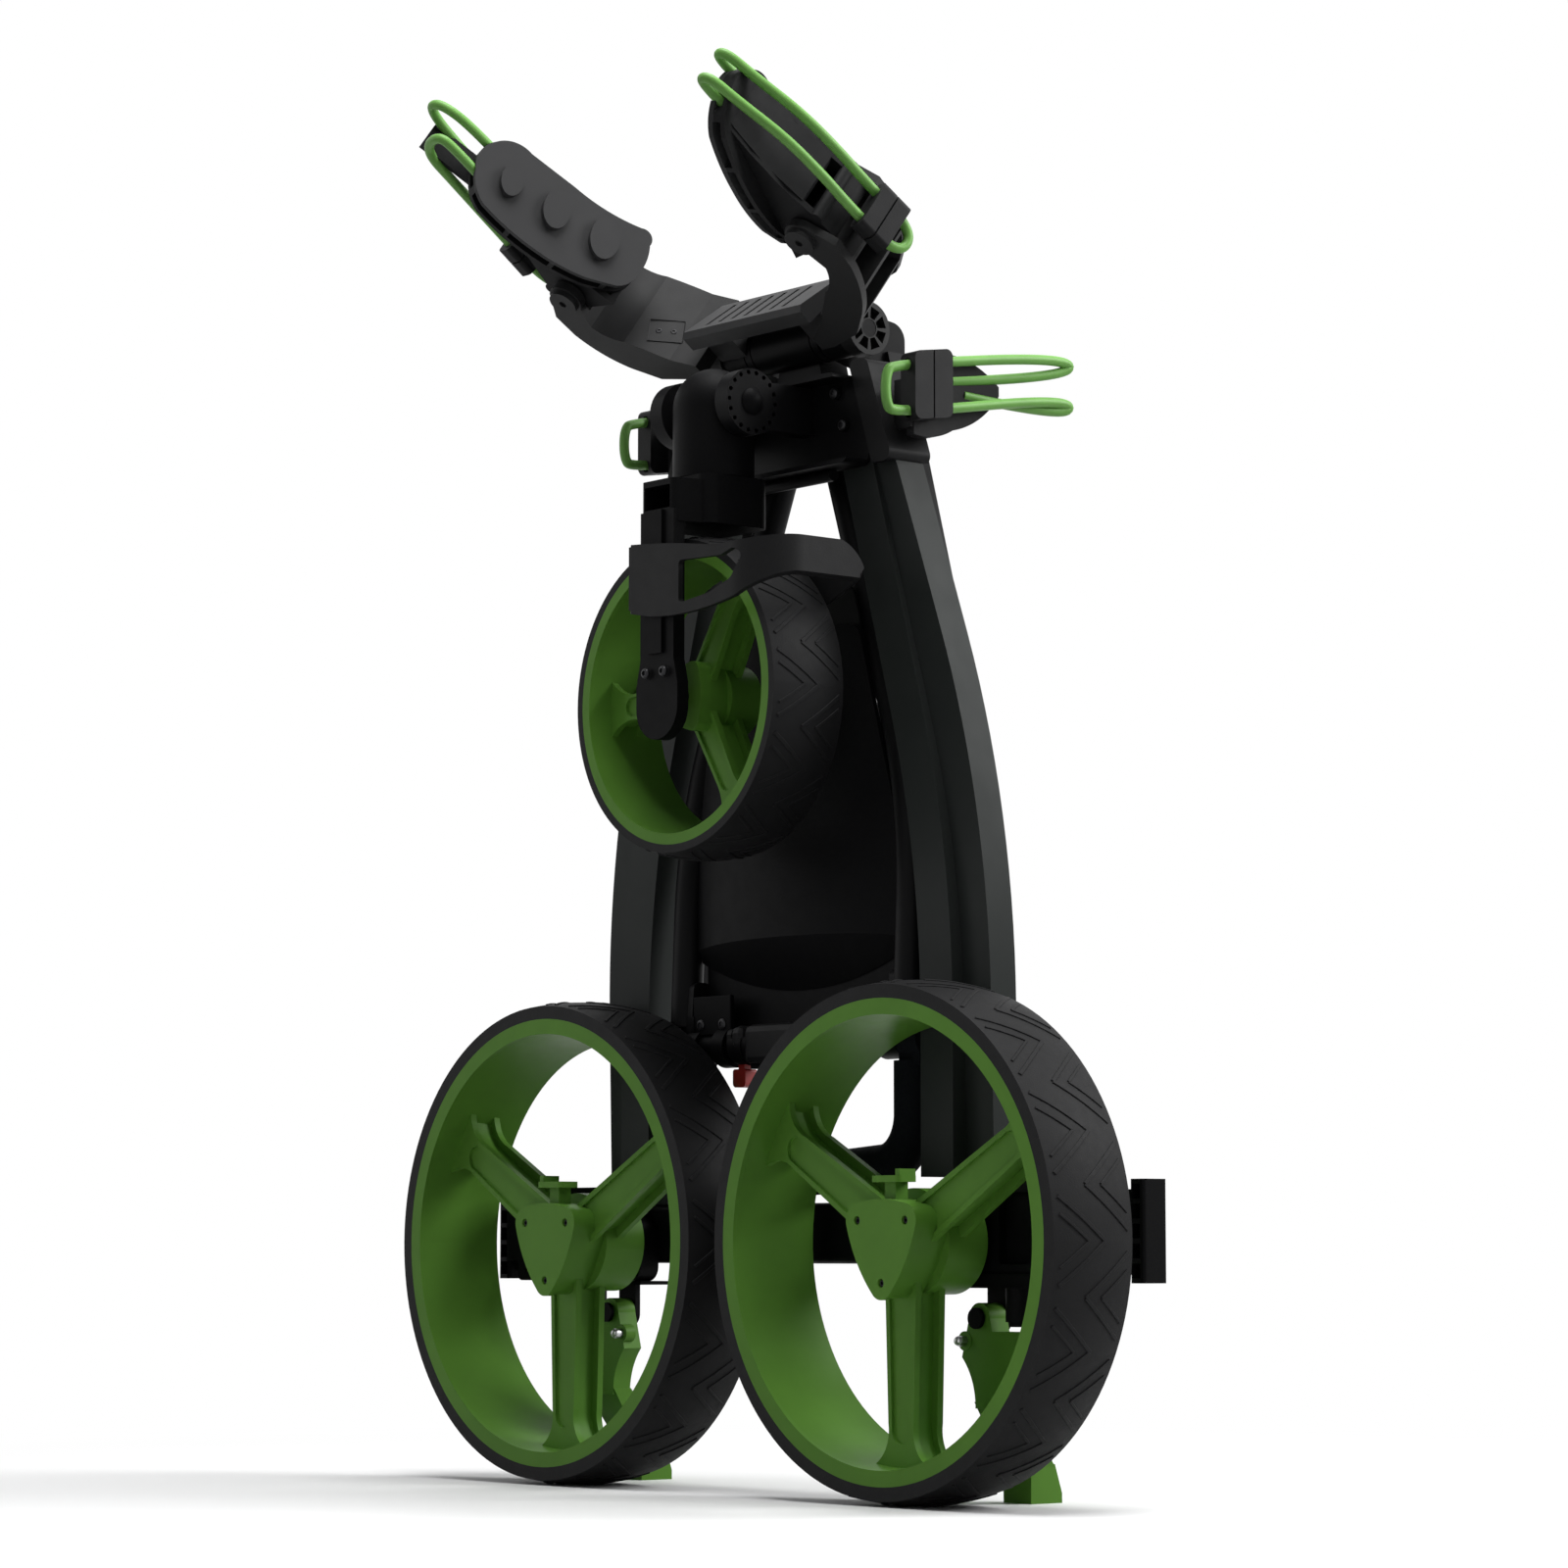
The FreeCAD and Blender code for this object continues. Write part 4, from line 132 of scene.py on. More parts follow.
world = bpy.data.worlds.new("white_room")
bpy.context.scene.world = world
world.use_nodes = True
room = world.node_tree
room.nodes.clear()
dim = room.nodes.new("ShaderNodeBackground")
dim.inputs["Color"].default_value = ROOM_TINT
dim.inputs["Strength"].default_value = ROOM_GLOW
white = room.nodes.new("ShaderNodeBackground")
white.inputs["Color"].default_value = WHITE
white.inputs["Strength"].default_value = 1.0
choose = room.nodes.new("ShaderNodeMixShader")
out = room.nodes.new("ShaderNodeOutputWorld")
room.links.new(any_ray(room, "Is Camera Ray", "Is Glossy Ray", "Is Transmission Ray"), choose.inputs["Fac"])
room.links.new(dim.outputs[0], choose.inputs[1])
room.links.new(white.outputs[0], choose.inputs[2])
room.links.new(choose.outputs[0], out.inputs["Surface"])
print("room glow:", ROOM_GLOW)

# %% [markdown]
# ## Floor
# The floor is pale paper. Near the cart it is lit like everything else, so it keeps the cart's shadow. To
# the camera and in reflections it looks pale. To every other ray it is grey, so that it does not light the
# cart from below.

# %% Floor and its paper
FLOOR_HALF = 14                           # from the middle to the floor's edge, m
PAPER_UNSEEN = (0.45, 0.45, 0.45, 1)      # what the paper throws back onto the cart
PAPER_SEEN = (0.9, 0.9, 0.9, 1)
MIX_A, MIX_B, MIX_RESULT = 6, 7, 2        # the colour sockets of a mix node

floor_mesh = bmesh.new()
bmesh.ops.create_grid(floor_mesh, x_segments=1, y_segments=1, size=FLOOR_HALF)
floor_data = bpy.data.meshes.new("studio_floor")
floor_mesh.to_mesh(floor_data)
floor_mesh.free()
floor = bpy.data.objects.new("studio_floor", floor_data)
bpy.context.scene.collection.objects.link(floor)
paper = bpy.data.materials.new("pale_paper")
paper.use_nodes = True
floor_data.materials.append(paper)
tree = paper.node_tree
paper_shader = tree.nodes["Principled BSDF"]
seen_white = any_ray(tree, "Is Camera Ray", "Is Glossy Ray", "Is Transmission Ray")
paper_tone = tree.nodes.new("ShaderNodeMix")
paper_tone.data_type = "RGBA"
paper_tone.inputs[MIX_A].default_value = PAPER_UNSEEN
paper_tone.inputs[MIX_B].default_value = PAPER_SEEN
tree.links.new(seen_white, paper_tone.inputs["Factor"])
tree.links.new(paper_tone.outputs[MIX_RESULT], paper_shader.inputs["Base Color"])
paper_shader.inputs["Roughness"].default_value = 0.6
paper_shader.inputs["Specular IOR Level"].default_value = 0.1
print("floor:", 2 * FLOOR_HALF, "m across")

# %% [markdown]
# Further out the paper fades, for the camera and in reflections, into the same white as the room. The
# distance from the middle drives the fade, and the kind of ray switches it on.

# %% Fade into the room
FADE_START, FADE_END = 0.35, 1.1          # from the middle, m

glow = tree.nodes.new("ShaderNodeEmission")
spot = tree.nodes.new("ShaderNodeTexCoord")
away = tree.nodes.new("ShaderNodeVectorMath")
away.operation = "LENGTH"
fade = tree.nodes.new("ShaderNodeMapRange")
fade.interpolation_type = "SMOOTHSTEP"
fade.inputs["From Min"].default_value = FADE_START
fade.inputs["From Max"].default_value = FADE_END
only_seen = tree.nodes.new("ShaderNodeMath")
only_seen.operation = "MULTIPLY"
blend = tree.nodes.new("ShaderNodeMixShader")
tree.links.new(spot.outputs["Object"], away.inputs[0])
tree.links.new(away.outputs["Value"], fade.inputs["Value"])
tree.links.new(fade.outputs["Result"], only_seen.inputs[0])
tree.links.new(seen_white, only_seen.inputs[1])
tree.links.new(only_seen.outputs[0], blend.inputs["Fac"])
tree.links.new(paper_shader.outputs[0], blend.inputs[1])
tree.links.new(glow.outputs[0], blend.inputs[2])
tree.links.new(blend.outputs[0], tree.nodes["Material Output"].inputs["Surface"])
print("floor fades to white beyond", FADE_END, "m")

# %% [markdown]
# ## Finishes
# Every finish starts from one recipe: a slow noise that drifts the colour a little, a fine noise that
# becomes grain, and a roughness that wanders between two values. The numbers are what make it paint,
# plastic or foam.

# %% Finish recipe
DRIFT_BAND = (0.32, 0.68)                 # where the slow noise turns from the dark tone to the full one
WANDER = 6                                # patches of roughness to one patch of colour
GRAIN_DEPTH = 0.0004                      # m


def add(tree, kind, **sockets):
    """New node with some of its sockets set; an underscore stands for a space."""
    node = tree.nodes.new(kind)
    for socket, value in sockets.items():
        node.inputs[socket.replace("_", " ")].default_value = value
    return node


def moulded(name, colour, dark, rough, grain, drift, metallic=0.0, specular=0.5):
    """Colour drift, wandering roughness and a fine grain (scale, strength) on object coordinates."""
    material = bpy.data.materials.new(name)
    material.use_nodes = True
    tree = material.node_tree
    shader = tree.nodes["Principled BSDF"]
    link = tree.links.new
    spot = tree.nodes.new("ShaderNodeTexCoord").outputs["Object"]
    slow = add(tree, "ShaderNodeTexNoise", Scale=drift, Detail=4.0, Roughness=0.6)
    link(spot, slow.inputs["Vector"])
    ramp = tree.nodes.new("ShaderNodeValToRGB")
    tones = ([c * dark for c in colour], colour)
    for stop, position, tone in zip(ramp.color_ramp.elements, DRIFT_BAND, tones):
        stop.position = position
        stop.color = (*tone, 1)
    link(slow.outputs["Fac"], ramp.inputs["Fac"])
    link(ramp.outputs["Color"], shader.inputs["Base Color"])
    spread = add(tree, "ShaderNodeMapRange", To_Min=rough[0], To_Max=rough[1])
    middle = add(tree, "ShaderNodeTexNoise", Scale=drift * WANDER, Detail=3.0)
    link(spot, middle.inputs["Vector"])
    link(middle.outputs["Fac"], spread.inputs["Value"])
    link(spread.outputs["Result"], shader.inputs["Roughness"])
    fine = add(tree, "ShaderNodeTexNoise", Scale=grain[0], Detail=2.0)
    link(spot, fine.inputs["Vector"])
    bump = add(tree, "ShaderNodeBump", Strength=grain[1], Distance=GRAIN_DEPTH)
    link(fine.outputs["Fac"], bump.inputs["Height"])
    link(bump.outputs["Normal"], shader.inputs["Normal"])
    shader.inputs["Metallic"].default_value = metallic
    shader.inputs["Specular IOR Level"].default_value = specular
    return material


print("recipe: colour drift, roughness and grain")

# %% [markdown]
# There is one finish for each material slot of the record but the elastic, which follows with the straps,
# and zinc for the screws. The table gives each its full colour, how dark the drift goes, the two roughness
# values, the grain's scale and strength, and the drift's scale.

# %% Finishes
finishes = {
    "green_plastic": moulded("green_moulding", (0.104, 0.248, 0.034), 0.88, (0.36, 0.48), (1400, 0.05), 20,
                             specular=0.09),
    "grey_paint": moulded("grey_powder_coat", (0.025, 0.028, 0.0268), 0.86, (0.36, 0.5), (2200, 0.16), 9,
                          specular=0.07),
    "black_paint": moulded("black_powder_coat", (0.005, 0.005, 0.0055), 0.8, (0.38, 0.52), (2200, 0.16), 9,
                           specular=0.06),
    "black_plastic": moulded("black_moulding", (0.004, 0.004, 0.0044), 0.75, (0.42, 0.58), (1500, 0.22), 16,
                             specular=0.04),
    "grey_plastic": moulded("grey_moulding", (0.0115, 0.0115, 0.012), 0.85, (0.4, 0.55), (1500, 0.2), 16,
                            specular=0.08),
    "light_plastic": moulded("soft_touch_grey", (0.044, 0.044, 0.045), 0.9, (0.5, 0.66), (1700, 0.16), 18,
                             specular=0.12),
    "tyre": moulded("foam_tyre", (0.0095, 0.0095, 0.010), 0.8, (0.52, 0.64), (1300, 0.3), 30, specular=0.1),
    "zinc": moulded("dark_zinc", (0.030, 0.030, 0.032), 0.8, (0.3, 0.45), (1800, 0.08), 60, metallic=0.6,
                    specular=0.2),
    "steel": moulded("brushed_steel", (0.52, 0.52, 0.53), 0.9, (0.25, 0.4), (800, 0.1), 40, metallic=1.0),
    "red_plastic": moulded("red_moulding", (0.35, 0.015, 0.012), 0.85, (0.35, 0.5), (1500, 0.15), 20),
    "foam": moulded("foam_grip", (0.007, 0.008, 0.010), 0.7, (0.75, 0.9), (700, 0.6), 60, specular=0.06),
}
print("finishes:", sorted(finishes))

# %% [markdown]
# A jaw is two mouldings pressed together: a soft grey pad towards the bag and a hard black shell behind.
# They share one solid, so the split is painted by depth: a dot product measures how far a point lies
# towards the bag, and a map range turns that into a sharp change of colour. It costs no extra mesh and
# follows the jaw as it tilts.

# %% Two-tone jaws
PAD_ORIGIN = (122.0, -0.8, 809.6)         # the right-hand jaw's bolt, mm
PAD_FACING = (-0.9472, -0.2565, 0.1924)   # from there towards the bag
PAD_DEPTH = 0.0285                        # from the bolt to where the pad begins, m
SPLIT_WIDTH = 0.0004                      # m
SHELL_BLACK = (0.009, 0.009, 0.0095, 1)


def jaw_finish(name, sign):
    """Soft grey pad towards the bag and harder black behind, split on a plane through the jaw."""
    material = moulded(name, (0.042, 0.042, 0.043), 0.9, (0.5, 0.66), (1700, 0.16), 18, specular=0.08)
    tree = material.node_tree
    shader = tree.nodes["Principled BSDF"]
    pad_colour = shader.inputs["Base Color"].links[0].from_socket
    depth = tree.nodes.new("ShaderNodeVectorMath")
    depth.operation = "DOT_PRODUCT"
    depth.inputs[1].default_value = (sign * PAD_FACING[0], PAD_FACING[1], PAD_FACING[2])
    origin = place(sign * PAD_ORIGIN[0], PAD_ORIGIN[1], PAD_ORIGIN[2])
    start = origin.dot(Vector(depth.inputs[1].default_value)) + PAD_DEPTH
    split = add(tree, "ShaderNodeMapRange", From_Min=start, From_Max=start + SPLIT_WIDTH)
    blend = tree.nodes.new("ShaderNodeMix")
    blend.data_type = "RGBA"
    blend.inputs[MIX_A].default_value = SHELL_BLACK
    tree.links.new(tree.nodes["Texture Coordinate"].outputs["Object"], depth.inputs[0])
    tree.links.new(depth.outputs["Value"], split.inputs["Value"])
    tree.links.new(split.outputs["Result"], blend.inputs["Factor"])
    tree.links.new(pad_colour, blend.inputs[MIX_B])
    tree.links.new(blend.outputs[MIX_RESULT], shader.inputs["Base Color"])
    return material


arm_grey = moulded("arm_grey", (0.026, 0.026, 0.0265), 0.85, (0.42, 0.56), (1600, 0.16), 16, specular=0.1)
own_finish = {
    "console": finishes["black_plastic"],
    "cradle_arm_right": arm_grey,
    "cradle_arm_left": arm_grey,
    "mudguard": finishes["grey_plastic"],
    "cradle_jaw_right": jaw_finish("jaw_right_finish", 1),
    "cradle_jaw_left": jaw_finish("jaw_left_finish", -1),
}
print("solids with a finish of their own:", sorted(own_finish))

# %% [markdown]
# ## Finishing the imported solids
# Each solid gets the finish of its real material. The record already names a material slot for every solid,
# so one loop dresses them all, apart from the few with a finish of their own. The straps' plain solids have
# no finish, because cords take their place.

# %% Dress the solids
dressed = []
for part in frame["record"]["subparts"]:
    finish = own_finish.get(part["node"], finishes.get(part["material_slot"]))
    if finish is None:
        continue
    solid = nodes[part["node"]].data
    solid.materials.clear()
    solid.materials.append(finish)
    dressed.append(part["node"])
print("dressed", len(dressed), "of", len(nodes), "solids")

# %% [markdown]
# ## Tyre tread
# Foam tyres are moulded with a shallow pattern. Here it is open chevrons, nested in pairs and pointing to
# either shoulder in turn. The strokes are laid flat on a strip as long as the tyre's girth, extruded and
# inset all at once, and the strip is then rolled round the crown, so that they stand 0.7 mm proud all
# along.

# %% Tread bars
WHEEL_X, WHEEL_RADIUS = 169.6, 160.0      # a rear wheel's middle from the cart's, and its radius, mm
CROWN_DROP = 3.4                          # how far the crown falls off towards the tyre's edges, mm
TREAD_ROWS = ((0.07, 0.60, 0.0), (0.93, 0.40, 0.5))      # foot and tip as shares of the width, shift along
TREAD_STROKES = ((1.0, 0.40, 2.6), (0.62, 0.24, 1.8))    # reach, spread as a share of the pitch, width in mm
STROKE_SQUARE = 9                         # length of the squares that let a stroke bend, mm
TREAD_SINK, TREAD_RISE = 0.5, 0.9         # how deep the strokes start, and how far they rise from there, mm
TREAD_EDGE = 0.3                          # bevel round a stroke's top, which lifts it as much, mm


def finished_object(name, mesh, body, material):
    """Turn a bmesh into an object that rides a body."""
    bmesh.ops.recalc_face_normals(mesh, faces=mesh.faces)
    data = bpy.data.meshes.new(name)
    mesh.to_mesh(data)
    mesh.free()
    data.materials.append(material)
    piece = bpy.data.objects.new(name, data)
    bpy.context.scene.collection.objects.link(piece)
    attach(piece, body)
    return piece


def tread_bar(mesh, start, end, width):
    """Flat stroke of small squares on the unrolled strip, from start to end (along, across) in mm."""
    run = Vector(end) - Vector(start)
    middle = (Vector(start) + Vector(end)) / 2
    lay = (Matrix.Translation((*middle, 0)) @ Matrix.Rotation(math.atan2(run.y, run.x), 4, "Z")
           @ Matrix.Diagonal((run.length, width, 1, 1)))
    squares = max(2, round(run.length / STROKE_SQUARE))
    bmesh.ops.create_grid(mesh, x_segments=squares, y_segments=1, size=0.5, matrix=lay)


def tread(name, tyre, count, body):
    """Chevrons laid flat, thickened together and rolled round a tyre (x, z, crown radius, face y, width)."""
    mesh = bmesh.new()
    x, z, crown, face_y, depth = tyre
    pitch = 2 * math.pi * crown / count
    for turn in range(count):
        for low, high, shift in TREAD_ROWS:
            apex = (turn + shift) * pitch
            for reach, spread, width in TREAD_STROKES:
                tip = face_y + depth * (low + (high - low) * reach)
                foot = face_y + depth * low
                for sign in (1, -1):
                    tread_bar(mesh, (apex, tip), (apex + sign * spread * pitch, foot), width)
    bmesh.ops.translate(mesh, verts=mesh.verts[:], vec=(0, 0, -TREAD_SINK))
    grown = bmesh.ops.extrude_face_region(mesh, geom=mesh.faces[:])
    raised = [part for part in grown["geom"] if isinstance(part, bmesh.types.BMVert)]
    bmesh.ops.translate(mesh, verts=raised, vec=(0, 0, TREAD_RISE))
    tops = [part for part in grown["geom"] if isinstance(part, bmesh.types.BMFace)]
    bmesh.ops.inset_region(mesh, faces=tops, thickness=TREAD_EDGE, depth=TREAD_EDGE, use_even_offset=True)
    for corner in mesh.verts:                       # roll the strip up: along becomes an angle
        along, across, rise = corner.co
        fall = CROWN_DROP * ((across - face_y - depth / 2) / (depth / 2)) ** 2
        corner.co = place(x + (crown - fall + rise) * math.cos(along / crown), across,
                          z + (crown - fall + rise) * math.sin(along / crown))
    return finished_object(name, mesh, body, finishes["tyre"])


for side, sign in (("right", 1), ("left", -1)):
    rear_tyre = (sign * WHEEL_X, WHEEL_RADIUS, WHEEL_RADIUS, 0.0, 63.7)
    tread("rear_tread_" + side, rear_tyre, count=15, body="wheel_" + side)
front_tyre = (0.0, 507.6, 104.0, -24.0, 57.0)
tread("front_tread", front_tyre, count=12, body="front_wheel")
print("treads: 3")

# %% [markdown]
# ## Screws
# Each rear hub cap is held by three button screws, the top plate by four and the fork's foot by two. A
# screw starts as a flat disc: extruding it makes the rim, and four insets, each a little higher or lower,
# make the dome and its socket.

# %% Button screws
FORWARDS = (0, -1, 0)                     # towards the side where the wheels are open
SCREW_SIDES = 18
SCREW_RIM = 0.35                          # the rim's share of the head's height
SCREW_INSETS = ((0.14, 0.45), (0.24, 0.2), (0.12, 0.0), (0.04, -0.65))   # shares of the radius and the height
CAP_SCREW_REACH = 25.4                    # from the hub's middle, mm
CAP_FACE = 6.2                            # the hub cap's face behind the wheel's open face, mm
CAP_SCREW_ANGLES = (30, 150, 270)         # degrees


def button_screw(mesh, spot, facing, radius, height):
    """Domed head with a sunken socket, its underside on the spot (mm) and its top towards `facing`."""
    before = set(mesh.verts)
    ring = bmesh.ops.create_circle(mesh, cap_ends=True, segments=SCREW_SIDES, radius=radius)["verts"]
    disc = ring[0].link_faces[0]
    disc.normal_update()
    if disc.normal.z < 0:
        disc.normal_flip()
    grown = bmesh.ops.extrude_face_region(mesh, geom=[disc])
    top = [part for part in grown["geom"] if isinstance(part, bmesh.types.BMFace)]
    bmesh.ops.translate(mesh, verts=top[0].verts, vec=(0, 0, height * SCREW_RIM))
    for inwards, upwards in SCREW_INSETS:
        bmesh.ops.inset_region(mesh, faces=top, thickness=inwards * radius, depth=upwards * height)
    turn = Vector(facing).to_track_quat("Z", "Y").to_matrix().to_4x4()
    made = [corner for corner in mesh.verts if corner not in before]
    lay = Matrix.Translation(place(*spot)) @ turn @ Matrix.Scale(1 / MM, 4)
    bmesh.ops.transform(mesh, verts=made, matrix=lay)


def screws(name, body, spots, facing, radius, height):
    """One object of equal screws at several spots (mm)."""
    mesh = bmesh.new()
    for spot in spots:
        button_screw(mesh, spot, facing, radius, height)
    return finished_object(name, mesh, body, finishes["zinc"])


for side, sign in (("right", 1), ("left", -1)):
    cap_spots = []
    for angle in CAP_SCREW_ANGLES:
        cap_spots.append((sign * (WHEEL_X + CAP_SCREW_REACH * math.cos(math.radians(angle))), CAP_FACE,
                          WHEEL_RADIUS + CAP_SCREW_REACH * math.sin(math.radians(angle))))
    screws("hub_cap_screws_" + side, "wheel_" + side, cap_spots, FORWARDS, radius=2.5, height=2.2)
plate_spots = [(sign * x, 58.7, z) for sign in (1, -1) for x, z in ((62.0, 705.0), (70.0, 683.0))]
screws("plate_bolts", "lower_frame", plate_spots, FORWARDS, radius=3.6, height=1.6)
foot_spots = [(-9, -39.4, 521.6), (9, -39.4, 521.6)]
screws("fork_foot_screws", "fork", foot_spots, FORWARDS, radius=3.4, height=1.8)
print("screws:", 2 * len(CAP_SCREW_ANGLES) + len(plate_spots) + len(foot_spots))

# %% [markdown]
# ## Plates round the lower crossbar
# Between the console's lower rim and the crossbar a thin black cover stands on the bar, with a riveted
# bracket at each end, and a square sleeve hides the bar's ribs. The cover is partly painted shade: its black
# sheet fills a gap that lies in deep shade behind the console. A plate starts as one outline of a few
# corners, is extruded to its thickness and gets its edges bevelled, which is quicker to change than a box.

# %% Plates and sleeve
THIN_EDGE = 0.8                           # bevel of a thin plate, mm
SHADE_COVER = ((-99, 296), (99, 366))           # low and high corners (x, z), mm
BRACKETS = (((58, 296), (97, 322)), ((-97, 296), (-58, 322)))
RIVET_SPOTS = [(sign * x, 71, 303) for sign in (1, -1) for x in (66.5, 89)]
SLEEVE = (                                # low and high corners, front, thickness and bevel, mm
    ((-39, 275), (53, 301.5), 65.5, 27, 5),
    ((-53, 284), (-39.4, 301.2), 65.8, 26.4, 5),         # leaves the latch tab its slot below
    ((-57, 285), (-53.5, 299.5), 67.5, 23, 4),
    ((53.5, 277), (57, 299.5), 67.5, 23, 4),
)


def plate(mesh, outline, front, thickness, softness=THIN_EDGE):
    """Outline of (x, z) corners extruded backwards from y = front, with softened edges."""
    before = set(mesh.edges)
    face = mesh.faces.new([mesh.verts.new(place(x, front, z)) for x, z in outline])
    grown = bmesh.ops.extrude_face_region(mesh, geom=[face])
    moved = [part for part in grown["geom"] if isinstance(part, bmesh.types.BMVert)]
    bmesh.ops.translate(mesh, verts=moved, vec=Vector((0, thickness / MM, 0)))
    edges = [edge for edge in mesh.edges if edge not in before]
    bmesh.ops.bevel(mesh, geom=edges, offset=softness / MM, offset_type="OFFSET", segments=2, profile=0.5,
                    affect="EDGES", material=-1)


def rectangle(low, high):
    """Outline of a rectangle from its low and high corners."""
    return [(low[0], low[1]), (high[0], low[1]), (high[0], high[1]), (low[0], high[1])]


# painted shade: the cover's black sheet fills the deeply shaded gap behind the console
shade_cover = bmesh.new()
plate(shade_cover, rectangle(*SHADE_COVER), front=84.8, thickness=2.2)
for low, high in BRACKETS:
    plate(shade_cover, rectangle(low, high), front=71, thickness=3.5)
finished_object("crossbar_shade_cover", shade_cover, "handle", finishes["black_plastic"])
sleeve = bmesh.new()
for low, high, front, thickness, softness in SLEEVE:
    plate(sleeve, rectangle(low, high), front, thickness, softness)
finished_object("crossbar_sleeve", sleeve, "handle", finishes["grey_plastic"])
screws("bracket_rivets", "handle", RIVET_SPOTS, FORWARDS, radius=3.7, height=1.2)
print("crossbar: cover, sleeve,", len(RIVET_SPOTS), "rivets")

# %% [markdown]
# The mudguard's end turns in behind the tyre, and the console's top corners rise between the handle tubes.
# Both are thin walls, so both are plates again.

# %% Mudguard hood and console shoulders
HOOD_OUTLINE = [(48, 552), (76.6, 562.2), (86.2, 565.6), (96.7, 569.5), (107, 574), (112.5, 578),
                (113.5, 581), (100, 588), (62, 594), (48, 595)]          # mm, like the next one
SHOULDER_OUTLINE = [(28, 546), (72, 546), (69, 563), (63.5, 578), (58, 583), (28, 583)]

hood = bmesh.new()
plate(hood, HOOD_OUTLINE, front=36.2, thickness=2.6)
finished_object("mudguard_hood", hood, "fork", finishes["grey_plastic"])
shoulders = bmesh.new()
for side in (1, -1):
    plate(shoulders, [(side * x, z) for x, z in SHOULDER_OUTLINE], front=73.5, thickness=2.2)
finished_object("console_shoulders", shoulders, "handle", finishes["black_plastic"])
print("hood and shoulders: 3 plates")

# %% [markdown]
# ## Screw pockets on the cradle arms
# Beside the saddle each cradle arm has a square pocket with two screws. The pocket is one tilted square:
# insetting it makes the rim, and pushing the middle in makes the recess.

# %% Screw pockets
POCKET_SIZE = (24, 18)                    # along the arm and across it, mm
POCKET_RISE = 2.0                         # how far the rim stands off the arm, mm
POCKET_RIM = 0.0012                       # width of the rim, m
POCKET_SINK = 0.3                         # how far the back sinks into the arm, mm
POCKET_FLOOR = 0.4                        # the recess's floor above the arm's face, mm
SCREW_LIFT = 0.3                          # the screws' undersides above it, mm


def pocket(mesh, centre, facing, along, size, rise):
    """Square plate with a sunken middle, its back on the centre (mm), facing away from the arm."""
    facing, along = Vector(facing).normalized(), Vector(along)
    along = (along - facing * along.dot(facing)).normalized()
    across = facing.cross(along)
    corners = []
    for a, b in ((-1, -1), (1, -1), (1, 1), (-1, 1)):
        shift = along * a * size[0] + across * b * size[1] - facing * 2 * POCKET_SINK
        corners.append(place(*centre) + shift / (2 * MM))
    back = mesh.faces.new([mesh.verts.new(corner) for corner in corners])
    if back.normal.dot(facing) < 0:
        back.normal_flip()
    grown = bmesh.ops.extrude_face_region(mesh, geom=[back])
    top = [part for part in grown["geom"] if isinstance(part, bmesh.types.BMFace)]
    bmesh.ops.translate(mesh, verts=top[0].verts, vec=facing * (rise + POCKET_SINK) / MM)
    bmesh.ops.inset_region(mesh, faces=top, thickness=POCKET_RIM, use_even_offset=True)
    bmesh.ops.translate(mesh, verts=top[0].verts, vec=-facing * (rise - POCKET_FLOOR) / MM)


for side, sign in (("right", 1), ("left", -1)):
    pockets = bmesh.new()
    centre = (sign * 88.5, 40.0, 765.5)
    facing = (-sign * 0.678, -0.588, 0.441)
    slope = (-sign * 0.69, 0.73, -0.09)
    pocket(pockets, centre, facing, slope, POCKET_SIZE, POCKET_RISE)
    finished_object("arm_pocket_" + side, pockets, "upright", arm_grey)
    spots = []
    for step in (-5, 5):
        spots.append(tuple(c + s * step + f * SCREW_LIFT for c, s, f in zip(centre, slope, facing)))
    screws("arm_pocket_screws_" + side, "upright", spots, facing, radius=2.4, height=1.6)
print("pockets: 2, with 4 screws")

# %% [markdown]
# ## Elastic straps
# Each bag strap is one round elastic cord. It leaves its moulding, runs out, bends and comes back. A NURBS
# curve of order 3 is led by the points of the strap's route and cuts their corners, like stretched rubber.


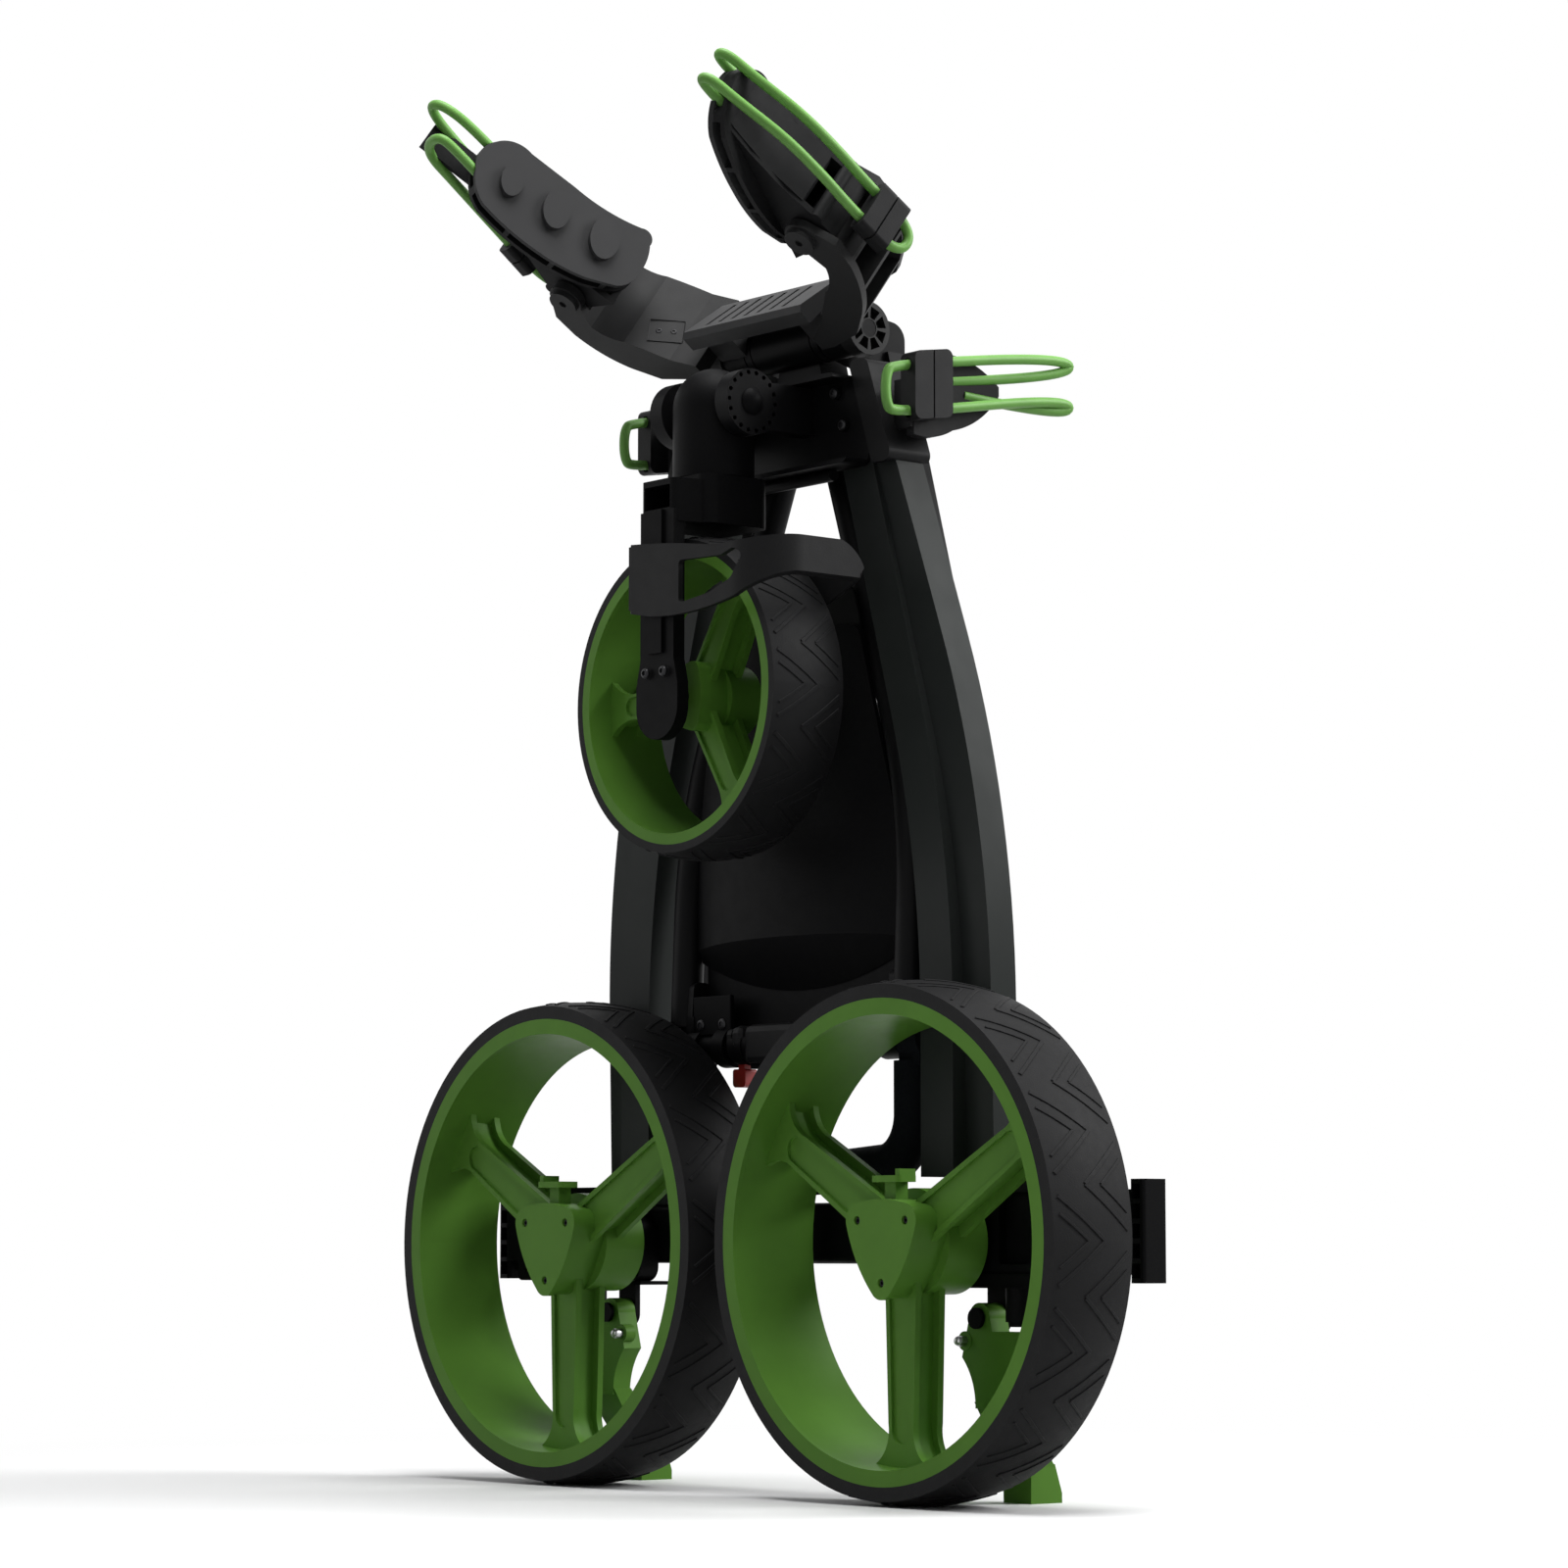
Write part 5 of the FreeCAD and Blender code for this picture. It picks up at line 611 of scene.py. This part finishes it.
# %% Strap cord
def spline_object(name, points, thickness, body, material):
    """Round cord led by points in metres, riding a body."""
    curve = bpy.data.curves.new(name, "CURVE")
    curve.dimensions = "3D"
    curve.resolution_u = 14
    curve.bevel_depth = thickness / 2
    curve.bevel_resolution = 5
    curve.use_fill_caps = True
    spline = curve.splines.new("NURBS")
    spline.points.add(len(points) - 1)
    for control, point in zip(spline.points, points):
        control.co = (*point, 1)
    spline.order_u = 3
    spline.use_endpoint_u = True
    curve.materials.append(material)
    cord = bpy.data.objects.new(name, curve)
    bpy.context.scene.collection.objects.link(cord)
    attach(cord, body)
    return cord


STRAP_DIAMETER = 0.0066
elastic = moulded("elastic_cord", (0.15, 0.36, 0.072), 0.9, (0.38, 0.46), (3200, 0.012), 60, specular=0.25)
upper_routes = {
    "right": [(127.5, -75.2, 851.6), (122.2, -102.8, 872.3), (132.8, -104.1, 873.3), (139.5, -83.7, 858.1),
              (151.4, -56.9, 837.9), (155.3, -28.8, 816.8), (155.2, -8.5, 801.7), (159.7, 28.2, 774.1),
              (159.7, 41.4, 791.7), (155.2, 4.7, 819.3), (155.3, -15.6, 834.4), (151.4, -43.7, 855.5),
              (139.5, -70.5, 875.7), (132.8, -90.9, 890.9), (122.2, -89.6, 889.9), (127.5, -62.0, 869.2)],
    "left": [(127.5, -75.2, 851.6), (127.6, -105.5, 874.4), (131.8, -117.9, 883.7), (155.5, -111.5, 878.9),
             (155.3, -86.2, 859.9), (156.1, -3.2, 797.7), (156.1, 10.0, 815.3), (155.3, -73.0, 877.5),
             (152.4, -111.0, 906.0), (137.6, -113.3, 907.7), (127.6, -92.3, 892.0), (127.5, -62.0, 869.2)],
}
upper_lengths = {"right": 0.434, "left": 0.449}
lower_route = [(124.0, 104.0, 709.0), (134.0, 198.0, 721.5), (136.5, 198.0, 735.0), (134.0, 46.0, 712.0),
               (134.0, 40.0, 705.0), (134.0, 40.0, 687.0), (134.0, 46.0, 680.0), (136.5, 198.0, 708.0),
               (133.0, 198.0, 694.5), (124.5, 114.0, 701.0)]
lower_length = 0.539
for side, sign in (("right", 1), ("left", -1)):
    for level, route, length, body in (("upper", upper_routes[side], upper_lengths[side], "jaw_" + side),
                                       ("lower", lower_route, lower_length, "lower_frame")):
        points = [place(sign * x, y, z) for x, y, z in route]
        cord = spline_object(f"{level}_strap_cord_{side}", points, STRAP_DIAMETER, body, elastic)
        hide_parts(f"strap_{level}_{side}")
print("strap cords: 4")

# %% [markdown]
# The two boxes are written out, so that the dressed cart can be compared with the solids.

# %% End
print("scene dressed")
